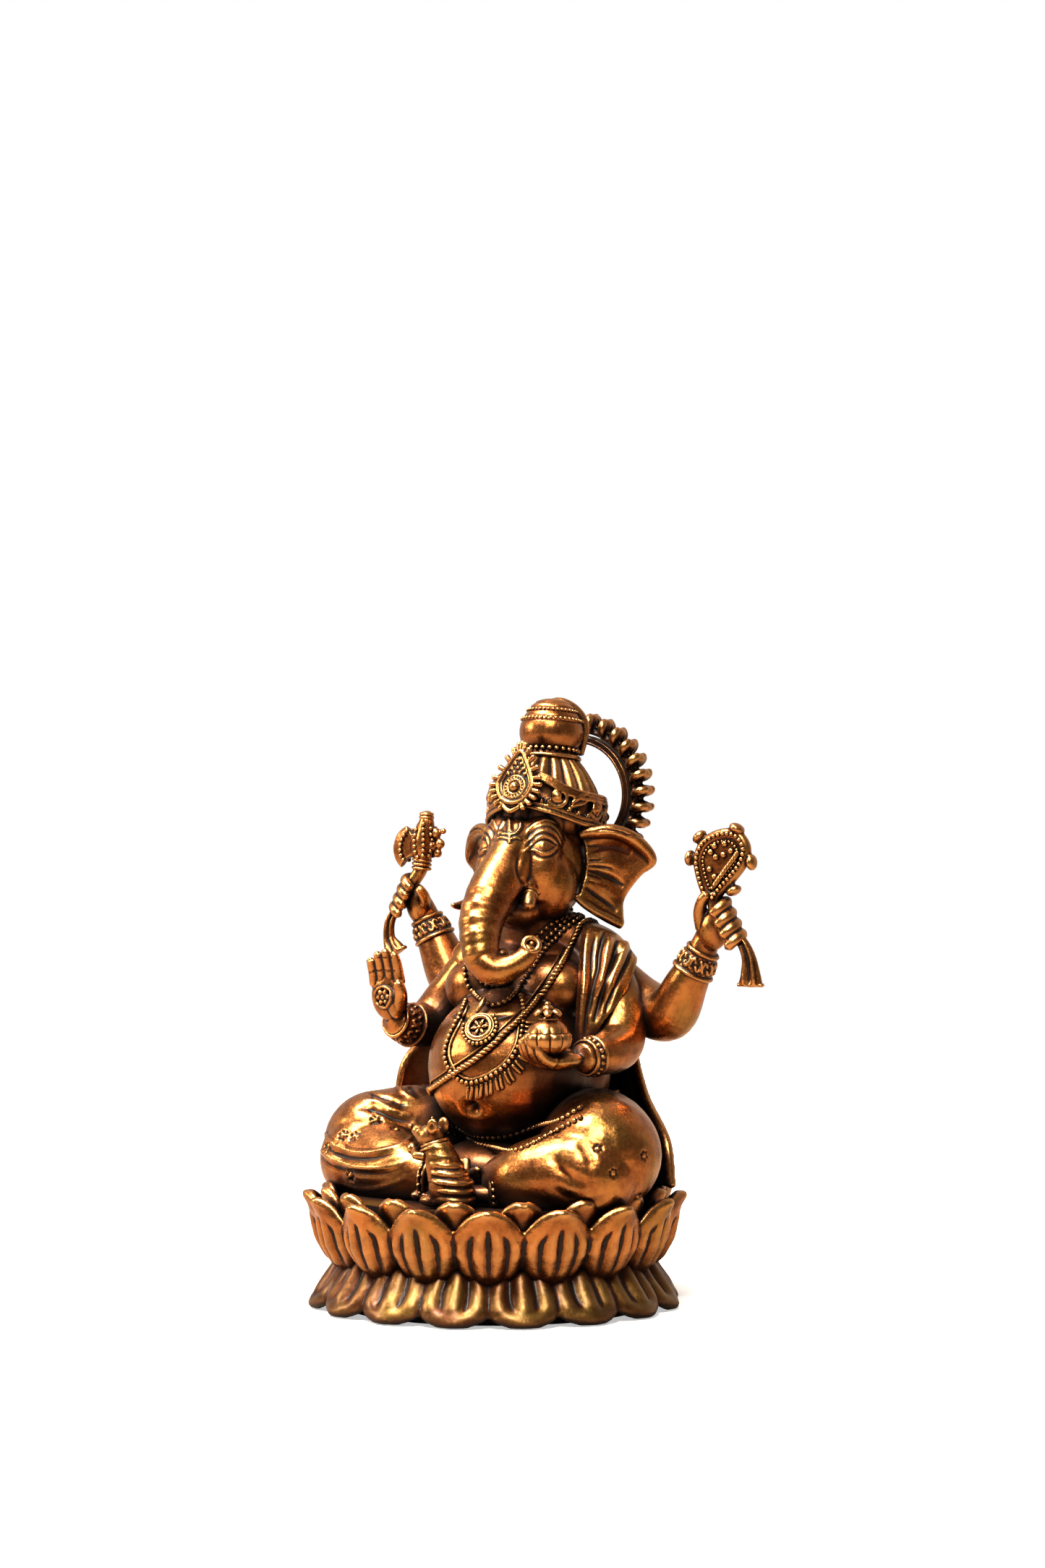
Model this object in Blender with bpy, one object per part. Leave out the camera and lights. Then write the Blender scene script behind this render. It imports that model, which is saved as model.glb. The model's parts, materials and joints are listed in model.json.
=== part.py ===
"""A seated elephant-headed deity on a round lotus throne: a cast brass figurine, 100 mm tall.

The figure is laid out in millimetres, with the floor at z = 0, the throne's centre on the Z axis,
the face towards -Y and the figure's own left hand towards +X. Each piece is scaled to metres as it
becomes an object. Pieces are made in the order in which they are fitted: every new one is cut back
to FIT_GAP from those that are already there, as a caster files one part to seat against the next.
"""

import math

import bmesh
import bpy
import numpy as np
from mathutils import Euler, Matrix, Vector

MM = 0.001

# Driving dimensions, in millimetres.
FIT_GAP = 0.3
PAD_TOP = 0.8
CORE_RADIUS = 24.0
CORE_FLOOR = 1.1
CORE_TOP = 16.2
SEAT_TOP = 17.7
PETAL_SPLIT = 8.3
LOTUS_RADIUS = 32.3
PETALS = 16
PETAL_TURN = 6.0
PETAL_TIP = 18.9
SPINE_Y = 15.5
BELLY = Vector((0, 4.5, 40.0))
HEAD = Vector((0, 14.0, 71.5))
CROWN_BASE = Vector((0, 17.2, 79.3))
CROWN_LEAN = 7.0
HALO = Vector((0, 28.6, 83.7))
HALO_HOLE = 8.8
HALO_OUTER = 14.2
HALO_LEAVES = 29
SHOULDER = Vector((13.2, 15.5, 55.5))
HAND_LENGTH = 12.6

fitted = []


def clear_scene():
    for old in list(bpy.data.objects):
        bpy.data.objects.remove(old, do_unlink=True)


def finish_of(name, colour, roughness, metallic):
    made = bpy.data.materials.new(name)
    made.use_nodes = True
    shader = made.node_tree.nodes["Principled BSDF"]
    shader.inputs["Base Color"].default_value = (*colour, 1)
    shader.inputs["Roughness"].default_value = roughness
    shader.inputs["Metallic"].default_value = metallic
    made.diffuse_color = (*colour, 1)
    return made


# ---------------------------------------------------------------- shapes, added to a bmesh in mm


def add_ball(bm, centre, radii, turn=(0, 0, 0), sides=16):
    """An ellipsoid with its own three radii, turned by degrees about X, Y and Z."""
    turned = Euler([math.radians(a) for a in turn]).to_matrix().to_4x4()
    place = Matrix.Translation(centre) @ turned @ Matrix.Diagonal((*radii, 1))
    bmesh.ops.create_uvsphere(bm, u_segments=sides, v_segments=sides // 2, radius=1, matrix=place)


def smooth_route(stations, steps):
    """Catmull-Rom points through the stations, each a row of x, y, z and radius."""
    rows = [np.array(s, float) for s in stations]
    rows = [2 * rows[0] - rows[1], *rows, 2 * rows[-1] - rows[-2]]
    out = []
    for a, b, c, d in zip(rows, rows[1:], rows[2:], rows[3:]):
        for k in range(steps):
            t = k / steps
            out.append(0.5 * (2 * b + (c - a) * t + (2 * a - 5 * b + 4 * c - d) * t**2
                              + (3 * b - a - 3 * c + d) * t**3))
    out.append(rows[-2])
    return out


def add_limb(bm, stations, sides=10, steps=3, flat=1.0, facing=None):
    """A round or flattened tube through the stations, closed by a blunt point at each end.

    flat is the thickness along facing as a share of the width across it.
    """
    route = smooth_route(stations, steps)
    centres = [Vector(r[:3]) for r in route]
    radii = [max(float(r[3]), 0.05) for r in route]
    across = Vector(facing).normalized() if facing else Vector((0, 0, 1))
    rings = []
    for i, centre in enumerate(centres):
        along = (centres[min(i + 1, len(centres) - 1)] - centres[max(i - 1, 0)]).normalized()
        thin = across - along * across.dot(along)
        if thin.length < 0.05:
            thin = Vector((1, 0, 0)) - along * along.x
        thin.normalize()
        wide = along.cross(thin)
        if not facing:
            across = thin
        ring = []
        for k in range(sides):
            angle = 2 * math.pi * k / sides
            offset = wide * math.cos(angle) + thin * math.sin(angle) * flat
            ring.append(bm.verts.new(centre + offset * radii[i]))
        rings.append(ring)
    for low, high in zip(rings, rings[1:]):
        for k in range(sides):
            bm.faces.new((low[k], low[(k + 1) % sides], high[(k + 1) % sides], high[k]))
    for ring, end, before, radius in ((rings[0], centres[0], centres[1], radii[0]),
                                      (rings[-1], centres[-1], centres[-2], radii[-1])):
        tip = bm.verts.new(end + (end - before).normalized() * radius * 0.5 * flat)
        for k in range(sides):
            corners = (tip, ring[(k + 1) % sides], ring[k])
            bm.faces.new(corners if ring is rings[0] else corners[::-1])


def add_turned(bm, profile, steps, place=Matrix.Identity(4)):
    """A solid of revolution about Z from (radius, height) points that start and end on the axis."""
    rings = []
    for radius, height in profile:
        if radius == 0:
            rings.append([bm.verts.new(place @ Vector((0, 0, height)))] * steps)
            continue
        angles = [2 * math.pi * k / steps for k in range(steps)]
        rings.append([bm.verts.new(place @ Vector((radius * math.cos(a), radius * math.sin(a), height)))
                      for a in angles])
    for low, high in zip(rings, rings[1:]):
        for k in range(steps):
            corners = (low[k], low[(k + 1) % steps], high[(k + 1) % steps], high[k])
            bm.faces.new(list(dict.fromkeys(corners)))


def add_hoop(bm, section, columns, place=Matrix.Identity(4)):
    """A closed ring about Z. section(angle) gives the loop of (radius, height) points there."""
    rings = []
    for k in range(columns):
        angle = 2 * math.pi * k / columns
        rings.append([bm.verts.new(place @ Vector((r * math.sin(angle), -r * math.cos(angle), z)))
                      for r, z in section(angle)])
    for here, there in zip(rings, rings[1:] + rings[:1]):
        for i in range(len(here)):
            j = (i + 1) % len(here)
            bm.faces.new((here[i], there[i], there[j], here[j]))


def add_sheet(bm, rows, thickness, steps=2):
    """A slab through a grid of (x, y, z) points, smoothed both ways, with its thickness centred on them."""
    across = [smooth_route([(*p, 0) for p in row], steps) for row in rows]
    columns = [smooth_route(column, steps) for column in zip(*across)]
    grid = np.array([[point[:3] for point in column] for column in columns])
    du, dv = np.gradient(grid, axis=0), np.gradient(grid, axis=1)
    normal = np.cross(du, dv)
    normal /= np.linalg.norm(normal, axis=2, keepdims=True) + 1e-9
    half = normal * thickness / 2
    front = [[bm.verts.new(p) for p in line] for line in grid + half]
    back = [[bm.verts.new(p) for p in line] for line in grid - half]
    wide, tall = grid.shape[:2]
    for i in range(wide - 1):
        for j in range(tall - 1):
            bm.faces.new((front[i][j], front[i + 1][j], front[i + 1][j + 1], front[i][j + 1]))
            bm.faces.new((back[i][j], back[i][j + 1], back[i + 1][j + 1], back[i + 1][j]))
    edge = ([(i, 0) for i in range(wide)] + [(wide - 1, j) for j in range(1, tall)]
            + [(i, tall - 1) for i in range(wide - 2, -1, -1)] + [(0, j) for j in range(tall - 2, 0, -1)])
    for (i, j), (k, m) in zip(edge, edge[1:] + edge[:1]):
        bm.faces.new((front[k][m], front[i][j], back[i][j], back[k][m]))


def add_hand(bm, wrist, along, palm, curls, thumb, length=HAND_LENGTH, spread=0.0, sides=6):
    """A palm, four fingers and a thumb.

    along points from the wrist to the knuckles, and palm is the way the palm faces. curls are the
    degrees by which the fingers bend at each of their three joints, and thumb is +1 or -1 for the
    side that the thumb is on, seen with along up and the palm facing the viewer.
    """
    wrist, along, palm = Vector(wrist), Vector(along).normalized(), Vector(palm).normalized()
    palm = (palm - along * along.dot(palm)).normalized()
    side = along.cross(palm) * thumb
    width = 0.24 * length
    turned = Matrix((side, along, palm)).transposed().to_4x4()
    centre = wrist + along * 0.29 * length
    size = Matrix.Diagonal((width * 1.08, 0.32 * length, 0.125 * length, 1))
    bmesh.ops.create_uvsphere(bm, u_segments=12, v_segments=8, radius=1,
                              matrix=Matrix.Translation(centre) @ turned @ size)
    reach = (0.40, 0.45, 0.42, 0.34)
    for k, share in enumerate(reach):
        offset = 0.78 * width * (1 - 2 * k / 3)
        at = wrist + along * 0.47 * length + side * offset
        heading = (along + side * spread * (1 - 2 * k / 3)).normalized()
        stations = [(*at, 0.078 * length)]
        bend = 0.0
        for curl, part in zip(curls, (0.42, 0.32, 0.26)):
            bend += math.radians(curl)
            at = at + (heading * math.cos(bend) + palm * math.sin(bend)) * part * share * length
            stations.append((*at, 0.066 * length))
        add_limb(bm, stations, sides=sides, steps=2)
    root = wrist + along * 0.16 * length + side * 0.72 * width + palm * 0.05 * length
    mid = root + along * 0.17 * length + side * 0.34 * width + palm * 0.08 * length
    tip = mid + along * 0.17 * length + palm * (0.02 + 0.0016 * sum(curls) / 3) * length
    add_limb(bm, [(*root, 0.10 * length), (*mid, 0.088 * length), (*tip, 0.068 * length)],
             sides=sides, steps=2)


# ---------------------------------------------------------------- pieces


def evaluated_mesh(piece):
    bpy.context.view_layer.update()
    graph = bpy.context.evaluated_depsgraph_get()
    return bpy.data.meshes.new_from_object(piece.evaluated_get(graph))


def largest_body(bm):
    """Deletes every loose shell but the one with the most volume."""
    unseen, shells = set(bm.verts), []
    while unseen:
        shell, edge = set(), [unseen.pop()]
        while edge:
            vert = edge.pop()
            shell.add(vert)
            for other in (e.other_vert(vert) for e in vert.link_edges):
                if other in unseen:
                    unseen.discard(other)
                    edge.append(other)
        shells.append(shell)

    def volume(shell):
        faces = {f for v in shell for f in v.link_faces}
        return sum(f.calc_center_median().dot(f.normal) * f.calc_area() for f in faces)

    shells.sort(key=volume)
    for shell in shells[:-1]:
        bmesh.ops.delete(bm, geom=list(shell), context="VERTS")


def bake(piece):
    """Replaces the piece's mesh by its evaluated one, as one clean closed body of triangles."""
    made = evaluated_mesh(piece)
    piece.modifiers.clear()
    bm = bmesh.new()
    bm.from_mesh(made)
    bmesh.ops.triangulate(bm, faces=bm.faces)
    bm.normal_update()
    largest_body(bm)
    bm.to_mesh(piece.data)
    bm.free()
    bpy.data.meshes.remove(made)


def grown(piece):
    """A hidden copy of the piece, larger by FIT_GAP all round, which cuts the room for it."""
    made = piece.data.copy()
    cutter = bpy.data.objects.new("room_for_" + piece.name, made)
    bpy.context.scene.collection.objects.link(cutter)
    normals = np.empty(len(made.vertices) * 3, np.float32)
    points = np.empty(len(made.vertices) * 3, np.float32)
    made.vertices.foreach_get("co", points)
    made.vertex_normals.foreach_get("vector", normals)
    made.vertices.foreach_set("co", points + normals * FIT_GAP * MM)
    made.update()
    cutter.hide_render = True
    cutter.display_type = "WIRE"
    return cutter


def reaches(piece, other):
    """Whether the two pieces' boxes come within two gaps of each other."""
    spans = []
    for each in (piece, other):
        points = np.array([v.co for v in each.data.vertices])
        spans.append((points.min(0), points.max(0)))
    (low, high), (other_low, other_high) = spans
    margin = 2 * FIT_GAP * MM
    return bool((low < other_high + margin).all() and (other_low < high + margin).all())


def place(name, bm, finish, voxel=None, soften=0, faces=None, most=300):
    """Makes the bmesh a piece and fits it against the earlier ones.

    voxel fuses overlapping lumps into one skin, soften relaxes it, and faces is how many triangles
    that skin keeps. most is the limit once the piece is fitted.
    """
    bmesh.ops.scale(bm, vec=(MM, MM, MM), verts=bm.verts)
    bmesh.ops.recalc_face_normals(bm, faces=bm.faces)
    mesh = bpy.data.meshes.new(name)
    bm.to_mesh(mesh)
    bm.free()
    piece = bpy.data.objects.new(name, mesh)
    bpy.context.scene.collection.objects.link(piece)
    mesh.materials.append(finish)
    if voxel:
        fuse = piece.modifiers.new("fuse", "REMESH")
        fuse.mode = "VOXEL"
        fuse.voxel_size = voxel * MM
        if soften:
            relax = piece.modifiers.new("soften", "SMOOTH")
            relax.factor = 0.5
            relax.iterations = soften
        dense = evaluated_mesh(piece)
        thin = piece.modifiers.new("thin", "DECIMATE")
        thin.ratio = min(1.0, faces / (2 * len(dense.polygons)))
        bpy.data.meshes.remove(dense)
    bake(piece)
    for other in fitted:
        if reaches(piece, other):
            cut = piece.modifiers.new("room", "BOOLEAN")
            cut.operation = "DIFFERENCE"
            cut.solver = "MANIFOLD"
            cut.object = grown(other)
            bake(piece)
            bpy.data.objects.remove(cut_room(other), do_unlink=True)
    if len(piece.data.polygons) > most:
        thin = piece.modifiers.new("thin", "DECIMATE")
        thin.ratio = most / len(piece.data.polygons)
        bake(piece)
    piece.data.shade_smooth()
    piece.data.set_sharp_from_angle(angle=math.radians(50))
    fitted.append(piece)
    return piece


def cut_room(other):
    return bpy.data.objects["room_for_" + other.name]


def laid_on(bodies, points, lift):
    """The points moved to stand lift above the nearest surface of the bodies, in mm."""
    out = []
    for point in points:
        at = Vector(point[:3]) * MM
        best = None
        for body in bodies:
            found, near, normal, _ = body.closest_point_on_mesh(at)
            if found and (best is None or (near - at).length < best[0]):
                best = ((near - at).length, near, normal)
        _, near, normal = best
        out.append(tuple((near / MM) + normal * lift))
    return out


# ---------------------------------------------------------------- throne


def make_pins(steel):
    """The screw that holds the figure to its throne, and the dowels that carry the loose castings."""
    bm = bmesh.new()
    add_turned(bm, [(0, CORE_FLOOR + 0.2), (3.4, CORE_FLOOR + 0.2), (3.4, 3.4), (1.7, 3.4), (1.7, 25),
                    (0, 25)], 12)
    bmesh.ops.translate(bm, verts=bm.verts, vec=(0, 11, 0))
    place("base_screw", bm, steel)
    dowels = {
        "neck_dowel": ((0, 14.5, 54), (0, 14.5, 68)),
        "crown_dowel": ((0, 16.5, 74), (0, 18, 86)),
        "left_front_arm_dowel": ((8.5, 14, 54.5), (16, 13.5, 52)),
        "right_front_arm_dowel": ((-8.5, 14, 54.5), (-16, 13.5, 52)),
        "left_rear_arm_dowel": ((9, 18.5, 52), (18, 18.5, 49)),
        "right_rear_arm_dowel": ((-9, 18.5, 52), (-18, 18.5, 50.5)),
    }
    for name, (start, end) in dowels.items():
        bm = bmesh.new()
        along = Vector(end) - Vector(start)
        turned = along.to_track_quat("Z", "Y").to_matrix().to_4x4()
        profile = [(0, 0), (0.9, 0), (0.9, along.length), (0, along.length)]
        add_turned(bm, profile, 8, Matrix.Translation(start) @ turned)
        place(name, bm, steel)


def leaf_share(angle, count, turn=0.0):
    """0 where two of count leaves meet and 1 in the middle of one; one middle is at turn degrees."""
    phase = ((angle - math.radians(turn)) * count / (2 * math.pi) + 0.5) % 1.0
    return math.sqrt(max(0.0, 1 - abs(2 * phase - 1) ** 2.2))


def make_throne(brass, felt):
    bm = bmesh.new()
    add_turned(bm, [(0, 0), (25, 0), (25, PAD_TOP), (0, PAD_TOP)], 32)
    place("felt_pad", bm, felt)
    bm = bmesh.new()
    waist = [(CORE_RADIUS, CORE_FLOOR), (CORE_RADIUS - 1.5, PETAL_SPLIT), (CORE_RADIUS, CORE_TOP)]
    add_turned(bm, [(0, CORE_FLOOR), *waist, (0, CORE_TOP)], 32)
    place("lotus_core", bm, brass)
    bm = bmesh.new()
    low = CORE_TOP + FIT_GAP
    add_turned(bm, [(0, low), (CORE_RADIUS, low), (CORE_RADIUS, SEAT_TOP), (0, SEAT_TOP)], 32)
    place("seat_disc", bm, brass)
    inner = CORE_RADIUS + 0.4
    between_turn = PETAL_TURN + 180 / PETALS

    def lower(angle):
        b = leaf_share(angle, PETALS, between_turn)
        return [(inner, 1.0), (28.3 + 2.6 * b, 0.4), (29.0 + 2.9 * b, 1.1), (27.4 + 2.1 * b, 3.6),
                (25.5 + 1.4 * b, 6.4), (inner, PETAL_SPLIT - 0.4)]

    def upper(angle):
        b = leaf_share(angle, PETALS, PETAL_TURN)
        tip = PETAL_TIP - 4.6 * (1 - b)
        return [(inner, PETAL_SPLIT), (25.6 + 1.4 * b, PETAL_SPLIT), (27.3 + 2.6 * b, 11.2),
                (28.2 + 2.7 * b, 14.2), (28.6 + (LOTUS_RADIUS - 28.6) * b, tip),
                (27.6 + 3.4 * b, tip + 0.1), (27.0 + 1.0 * b, 13.4), (inner, 12.6)]

    def between(angle):
        b = leaf_share(angle, PETALS, between_turn)
        tip = PETAL_TIP - 3.4 * (1 - b)
        return [(inner, 13.2), (26.4, 14.6), (26.3 + 0.8 * b, tip), (25.2 + 0.9 * b, tip), (inner, 15.4)]

    for name, section in (("lower_petals", lower), ("upper_petals", upper), ("inner_petals", between)):
        bm = bmesh.new()
        add_hoop(bm, section, PETALS * 4)
        place(name, bm, brass, most=1030)


# ---------------------------------------------------------------- body


def make_torso(brass):
    bm = bmesh.new()
    add_ball(bm, BELLY, (13.6, 13.2, 12.3))
    add_ball(bm, BELLY + Vector((0, 6.5, -3)), (14.6, 11.5, 9.5))
    add_ball(bm, (0, SPINE_Y - 2, 51), (14.2, 9.5, 9.6))
    for side in (1, -1):
        add_ball(bm, (side * 6.4, 7.4, 51.6), (7.0, 5.2, 5.4))
        add_ball(bm, (side * SHOULDER.x * 0.88, SHOULDER.y, SHOULDER.z - 0.6), (5.4, 5.6, 5.6))
        add_limb(bm, [(side * 3, 15, 60, 4.5), (side * 11, 15.5, 57, 4.6)])
    add_limb(bm, [(0, 15, 57, 7.2), (0, 14.6, 63.5, 6.6)])
    return place("torso", bm, brass, voxel=0.9, soften=6, faces=520, most=640)


def make_legs(brass):
    """The hips, and each folded leg as its baggy trouser of cloth: thigh, knee, and the shin below."""
    bm = bmesh.new()
    add_ball(bm, (0, 13.5, 24), (15, 11.5, 8.5))
    add_ball(bm, (0, 2, 22), (11, 10, 5.6))
    place("hips", bm, brass, voxel=1.0, soften=4, faces=200, most=280)
    shapes = {
        "right_leg": ([(-7, 14, 25, 8.4), (-16.5, 7.0, 25.8, 9.2), (-22.8, -0.3, 25.4, 8.8)],
                      [(-22.6, -3.0, 23, 7.8), (-14, -7.6, 22, 6.2), (-5.5, -9.4, 20.8, 4.3)]),
        "left_leg": ([(7, 13, 25, 8.6), (15.5, 5.5, 26, 9.8), (21.4, -2.5, 25.8, 9.8)],
                     [(20.8, -6.5, 23, 8.4), (13, -10.4, 22, 6.6), (6.5, -10.6, 20.6, 4.4)]),
    }
    for name, (thigh, shin) in shapes.items():
        bm = bmesh.new()
        add_limb(bm, thigh, sides=14)
        add_ball(bm, thigh[-1][:3], (thigh[-1][3],) * 3)
        add_limb(bm, shin, sides=14)
        add_ball(bm, shin[0][:3], (shin[0][3] * 1.05,) * 3)
        place(name, bm, brass, voxel=0.9, soften=5, faces=340, most=440)


def make_feet(brass):
    bm = bmesh.new()
    add_limb(bm, [(-3.6, -10.6, 21.2, 2.6), (0, -11.8, 21.4, 2.5), (3.4, -12.4, 21.8, 2.3)], flat=0.75,
             facing=(0, 0.4, 1))
    for k in range(5):
        out = Vector((0.35, -0.55, 0.75)).normalized() * (k - 2) * 1.0
        start = Vector((3.2, -12.4, 21.6)) + out
        end = start + Vector((2.6 - 0.3 * k, -0.6, 0.5))
        add_limb(bm, [(*start, 0.72), (*end, 0.62)], sides=6, steps=1)
    place("right_foot", bm, brass, voxel=0.5, soften=1, faces=260, most=260)
    bm = bmesh.new()
    add_limb(bm, [(7.5, -13.8, 19.8, 2.2), (3.6, -15.2, 19.6, 2.1), (0.6, -15.8, 19.5, 1.8)], flat=0.7,
             facing=(0, 0, 1))
    for k in range(5):
        start = Vector((0.9, -15.8, 19.5)) + Vector((0.25, -0.75, 0)) * (k - 2) * 0.95
        end = start + Vector((-2.0 + 0.25 * k, -0.4, 0))
        add_limb(bm, [(*start, 0.66), (*end, 0.56)], sides=6, steps=1)
    place("left_foot", bm, brass, voxel=0.5, soften=1, faces=240, most=240)


def make_head(brass):
    """Skull with its two brow domes, cheeks, jaw, and the trunk that hangs and curls to the left."""
    bm = bmesh.new()
    add_ball(bm, HEAD, (8.7, 8.6, 9.2))
    add_ball(bm, HEAD + Vector((0, 2.4, 4)), (8.2, 7.6, 6.6))
    for side in (1, -1):
        add_ball(bm, HEAD + Vector((side * 3.3, -4.6, 4.8)), (3.9, 3.8, 3.9))
        add_ball(bm, HEAD + Vector((side * 4.6, -4.4, -2.4)), (4.4, 4.6, 5.2))
    add_ball(bm, (0, 7.6, 64.5), (4.4, 4.4, 3.2))
    add_limb(bm, TRUNK, sides=12, steps=4)
    return place("head", bm, brass, voxel=0.7, soften=4, faces=760, most=840)


TRUNK = [(0, 9.5, 76.5, 4.6), (0, 5.2, 72.2, 4.5), (-0.6, 0.8, 68, 4.2), (-1.1, -2.6, 63.6, 3.95),
         (-1.0, -4.9, 59.6, 3.6),
         (0.4, -5.6, 56.7, 3.3), (3.4, -5.6, 55.2, 2.8), (6.6, -4.4, 55.9, 2.4), (8.2, -3.2, 58.0, 2.0),
         (8.0, -2.0, 59.8, 1.7)]


def ear_rows(side):
    """The ear as rows of points from its root on the head to its rim, top row first."""
    rows = [
        [(7.6, 14.6, 78.0), (10.5, 15.4, 79.2), (14.0, 18.4, 79.0), (17.2, 21.6, 76.6)],
        [(8.4, 14.2, 75.0), (11.2, 15.8, 75.2), (14.8, 19.6, 75.2), (18.6, 23.0, 73.4)],
        [(8.6, 13.8, 71.5), (11.2, 15.6, 71.0), (14.2, 18.8, 70.8), (16.9, 21.8, 69.6)],
        [(8.2, 13.6, 68.0), (10.6, 15.0, 67.4), (13.2, 17.6, 66.6), (15.2, 19.8, 65.4)],
        [(7.0, 13.6, 65.2), (9.4, 14.2, 64.2), (12.2, 15.8, 62.6), (14.4, 17.6, 61.2)],
    ]
    return [[(side * x, y, z) for x, y, z in row] for row in rows]


def make_face_parts(brass):
    for name, side in (("left_ear", 1), ("right_ear", -1)):
        bm = bmesh.new()
        add_sheet(bm, ear_rows(side), 1.5)
        place(name, bm, brass)
    bm = bmesh.new()
    add_limb(bm, [(-3.6, 4.8, 67.4, 1.25), (-5.4, 1.8, 65.9, 1.05), (-6.4, -0.6, 65.4, 0.7),
                  (-6.8, -2.2, 65.5, 0.35)], sides=8)
    place("right_tusk", bm, brass)
    bm = bmesh.new()
    add_limb(bm, [(3.7, 4.8, 67.0, 1.3), (5.0, 2.2, 65.3, 1.3), (5.5, 1.2, 64.6, 1.25)], sides=8)
    place("left_tusk", bm, brass)


def crown_place():
    lean = Matrix.Rotation(math.radians(-CROWN_LEAN), 4, "X")
    return Matrix.Translation(CROWN_BASE) @ lean


def make_crown(brass):
    """Four castings on the head: the fluted dome, the band round it, the front plaque and the knob."""
    up = crown_place()
    bm = bmesh.new()
    add_turned(bm, [(0, -2.5), (8.6, -2.5), (8.9, 1.0), (8.5, 4.2), (7.0, 7.6), (5.0, 10.0), (4.7, 11.6),
                    (0, 11.6)], 24, up)
    place("crown_dome", bm, brass)
    bm = bmesh.new()
    top = [(0, 11.9), (4.3, 11.9), (5.2, 14.0), (5.1, 16.2), (4.0, 18.4), (2.2, 20.2), (0.9, 20.7),
           (0, 20.8)]
    add_turned(bm, top, 16, up)
    place("crown_knob", bm, brass)

    def band(angle):
        rise = 1.6 * math.cos(angle)
        return [(9.2, -2.2 + rise), (10.0, -2.4 + rise), (10.4, -1.0 + rise), (10.0, 2.6 + 1.3 * rise),
                (9.2, 4.0 + 1.4 * rise)]

    bm = bmesh.new()
    add_hoop(bm, band, 30, up)
    place("crown_band", bm, brass)
    bm = bmesh.new()
    front = Matrix.Translation((0, -10.9, 5.0)) @ Matrix.Rotation(math.radians(90 - 12), 4, "X")
    outline = [(4.1 * math.sin(t) * (1 - 0.42 * max(0, math.cos(t))), 5.3 * math.cos(t) + 0.4) for t in
               (2 * math.pi * k / 18 for k in range(18))]
    add_prism(bm, outline, -0.9, 0.8, up @ front)
    place("crown_plaque", bm, brass)


def add_prism(bm, outline, low, high, place_at):
    """A flat plate with this outline in X and Y, from low to high in Z, moved by place_at."""
    count = len(outline)
    bottom = [bm.verts.new(place_at @ Vector((x, y, low))) for x, y in outline]
    top = [bm.verts.new(place_at @ Vector((x, y, high))) for x, y in outline]
    bm.faces.new(bottom[::-1])
    bm.faces.new(top)
    for k in range(count):
        bm.faces.new((bottom[k], bottom[(k + 1) % count], top[(k + 1) % count], top[k]))


def make_halo(brass):
    upright = Matrix.Translation(HALO) @ Matrix.Rotation(math.radians(90), 4, "X")
    bm = bmesh.new()
    rim = [(HALO_HOLE, -0.9), (HALO_HOLE + 1.3, -0.9), (HALO_HOLE + 1.3, 0.9), (HALO_HOLE, 0.9)]
    add_hoop(bm, lambda angle: rim, 40, upright)
    place("halo_rim", bm, brass)

    def leaves(angle):
        b = leaf_share(angle, HALO_LEAVES)
        outer = HALO_OUTER - 1.5 * (1 - b)
        thick = 1.0 + 0.9 * b
        root = HALO_HOLE + 1.6
        return [(root, -0.8), (0.5 * (root + outer), -thick), (outer, -0.4 * thick), (outer, 0.4 * thick),
                (0.5 * (root + outer), thick), (root, 0.8)]

    bm = bmesh.new()
    add_hoop(bm, leaves, HALO_LEAVES * 3, upright)
    place("halo_leaves", bm, brass, most=940)
    bm = bmesh.new()
    add_limb(bm, [(0, 20.5, 66.5, 2.4), (0, 25, 68.2, 2.0), (0, 28.2, 71.2, 1.7)], sides=8)
    place("halo_stem", bm, brass)


# ---------------------------------------------------------------- arms and what they hold


ARMS = {
    "left_front": [(12.4, 14.5, 54.0, 4.6), (16.8, 12.2, 49.0, 4.1), (18.8, 8.6, 43.2, 4.0),
                   (19.2, 2.4, 41.6, 3.4),
                   (18.0, -2.8, 41.2, 2.4)],
    "right_front": [(-12.4, 14.5, 54.0, 4.5), (-16.6, 13.0, 49.0, 4.1), (-18.6, 10.0, 45.2, 4.0),
                    (-19.4, 5.0, 45.0, 3.3),
                    (-20.2, 1.2, 46.0, 2.4)],
    "left_rear": [(12.0, 18.5, 52.8, 4.4), (18.0, 17.6, 49.0, 4.5), (24.4, 15.2, 47.6, 4.4),
                  (28.4, 14.0, 53.0, 3.5),
                  (31.4, 14.0, 58.4, 2.4)],
    "right_rear": [(-12.0, 18.5, 52.8, 4.2), (-17.0, 19.5, 50.5, 4.2), (-20.6, 20.6, 52.4, 4.2),
                   (-23.6, 20.8, 58.0, 3.4),
                   (-25.6, 20.4, 62.4, 2.4)],
}
# wrist, along, palm, curls, thumb side
HANDS = {
    "left_front": ((17.8, -3.6, 41.2), (-0.5, -0.84, -0.06), (0, 0, 1), (28, 30, 26), 1),
    "right_front": ((-20.4, 0.8, 46.2), (-0.08, -0.10, 1), (0.05, -1, -0.1), (4, 6, 6), 1),
    "left_rear": ((31.7, 14.0, 59.0), (0.5, 0, 1), (0.35, -1, 0), (62, 78, 60), 1),
    "right_rear": ((-25.8, 20.3, 62.8), (-0.45, 0, 1), (-0.35, -1, 0), (62, 78, 60), -1),
}


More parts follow.
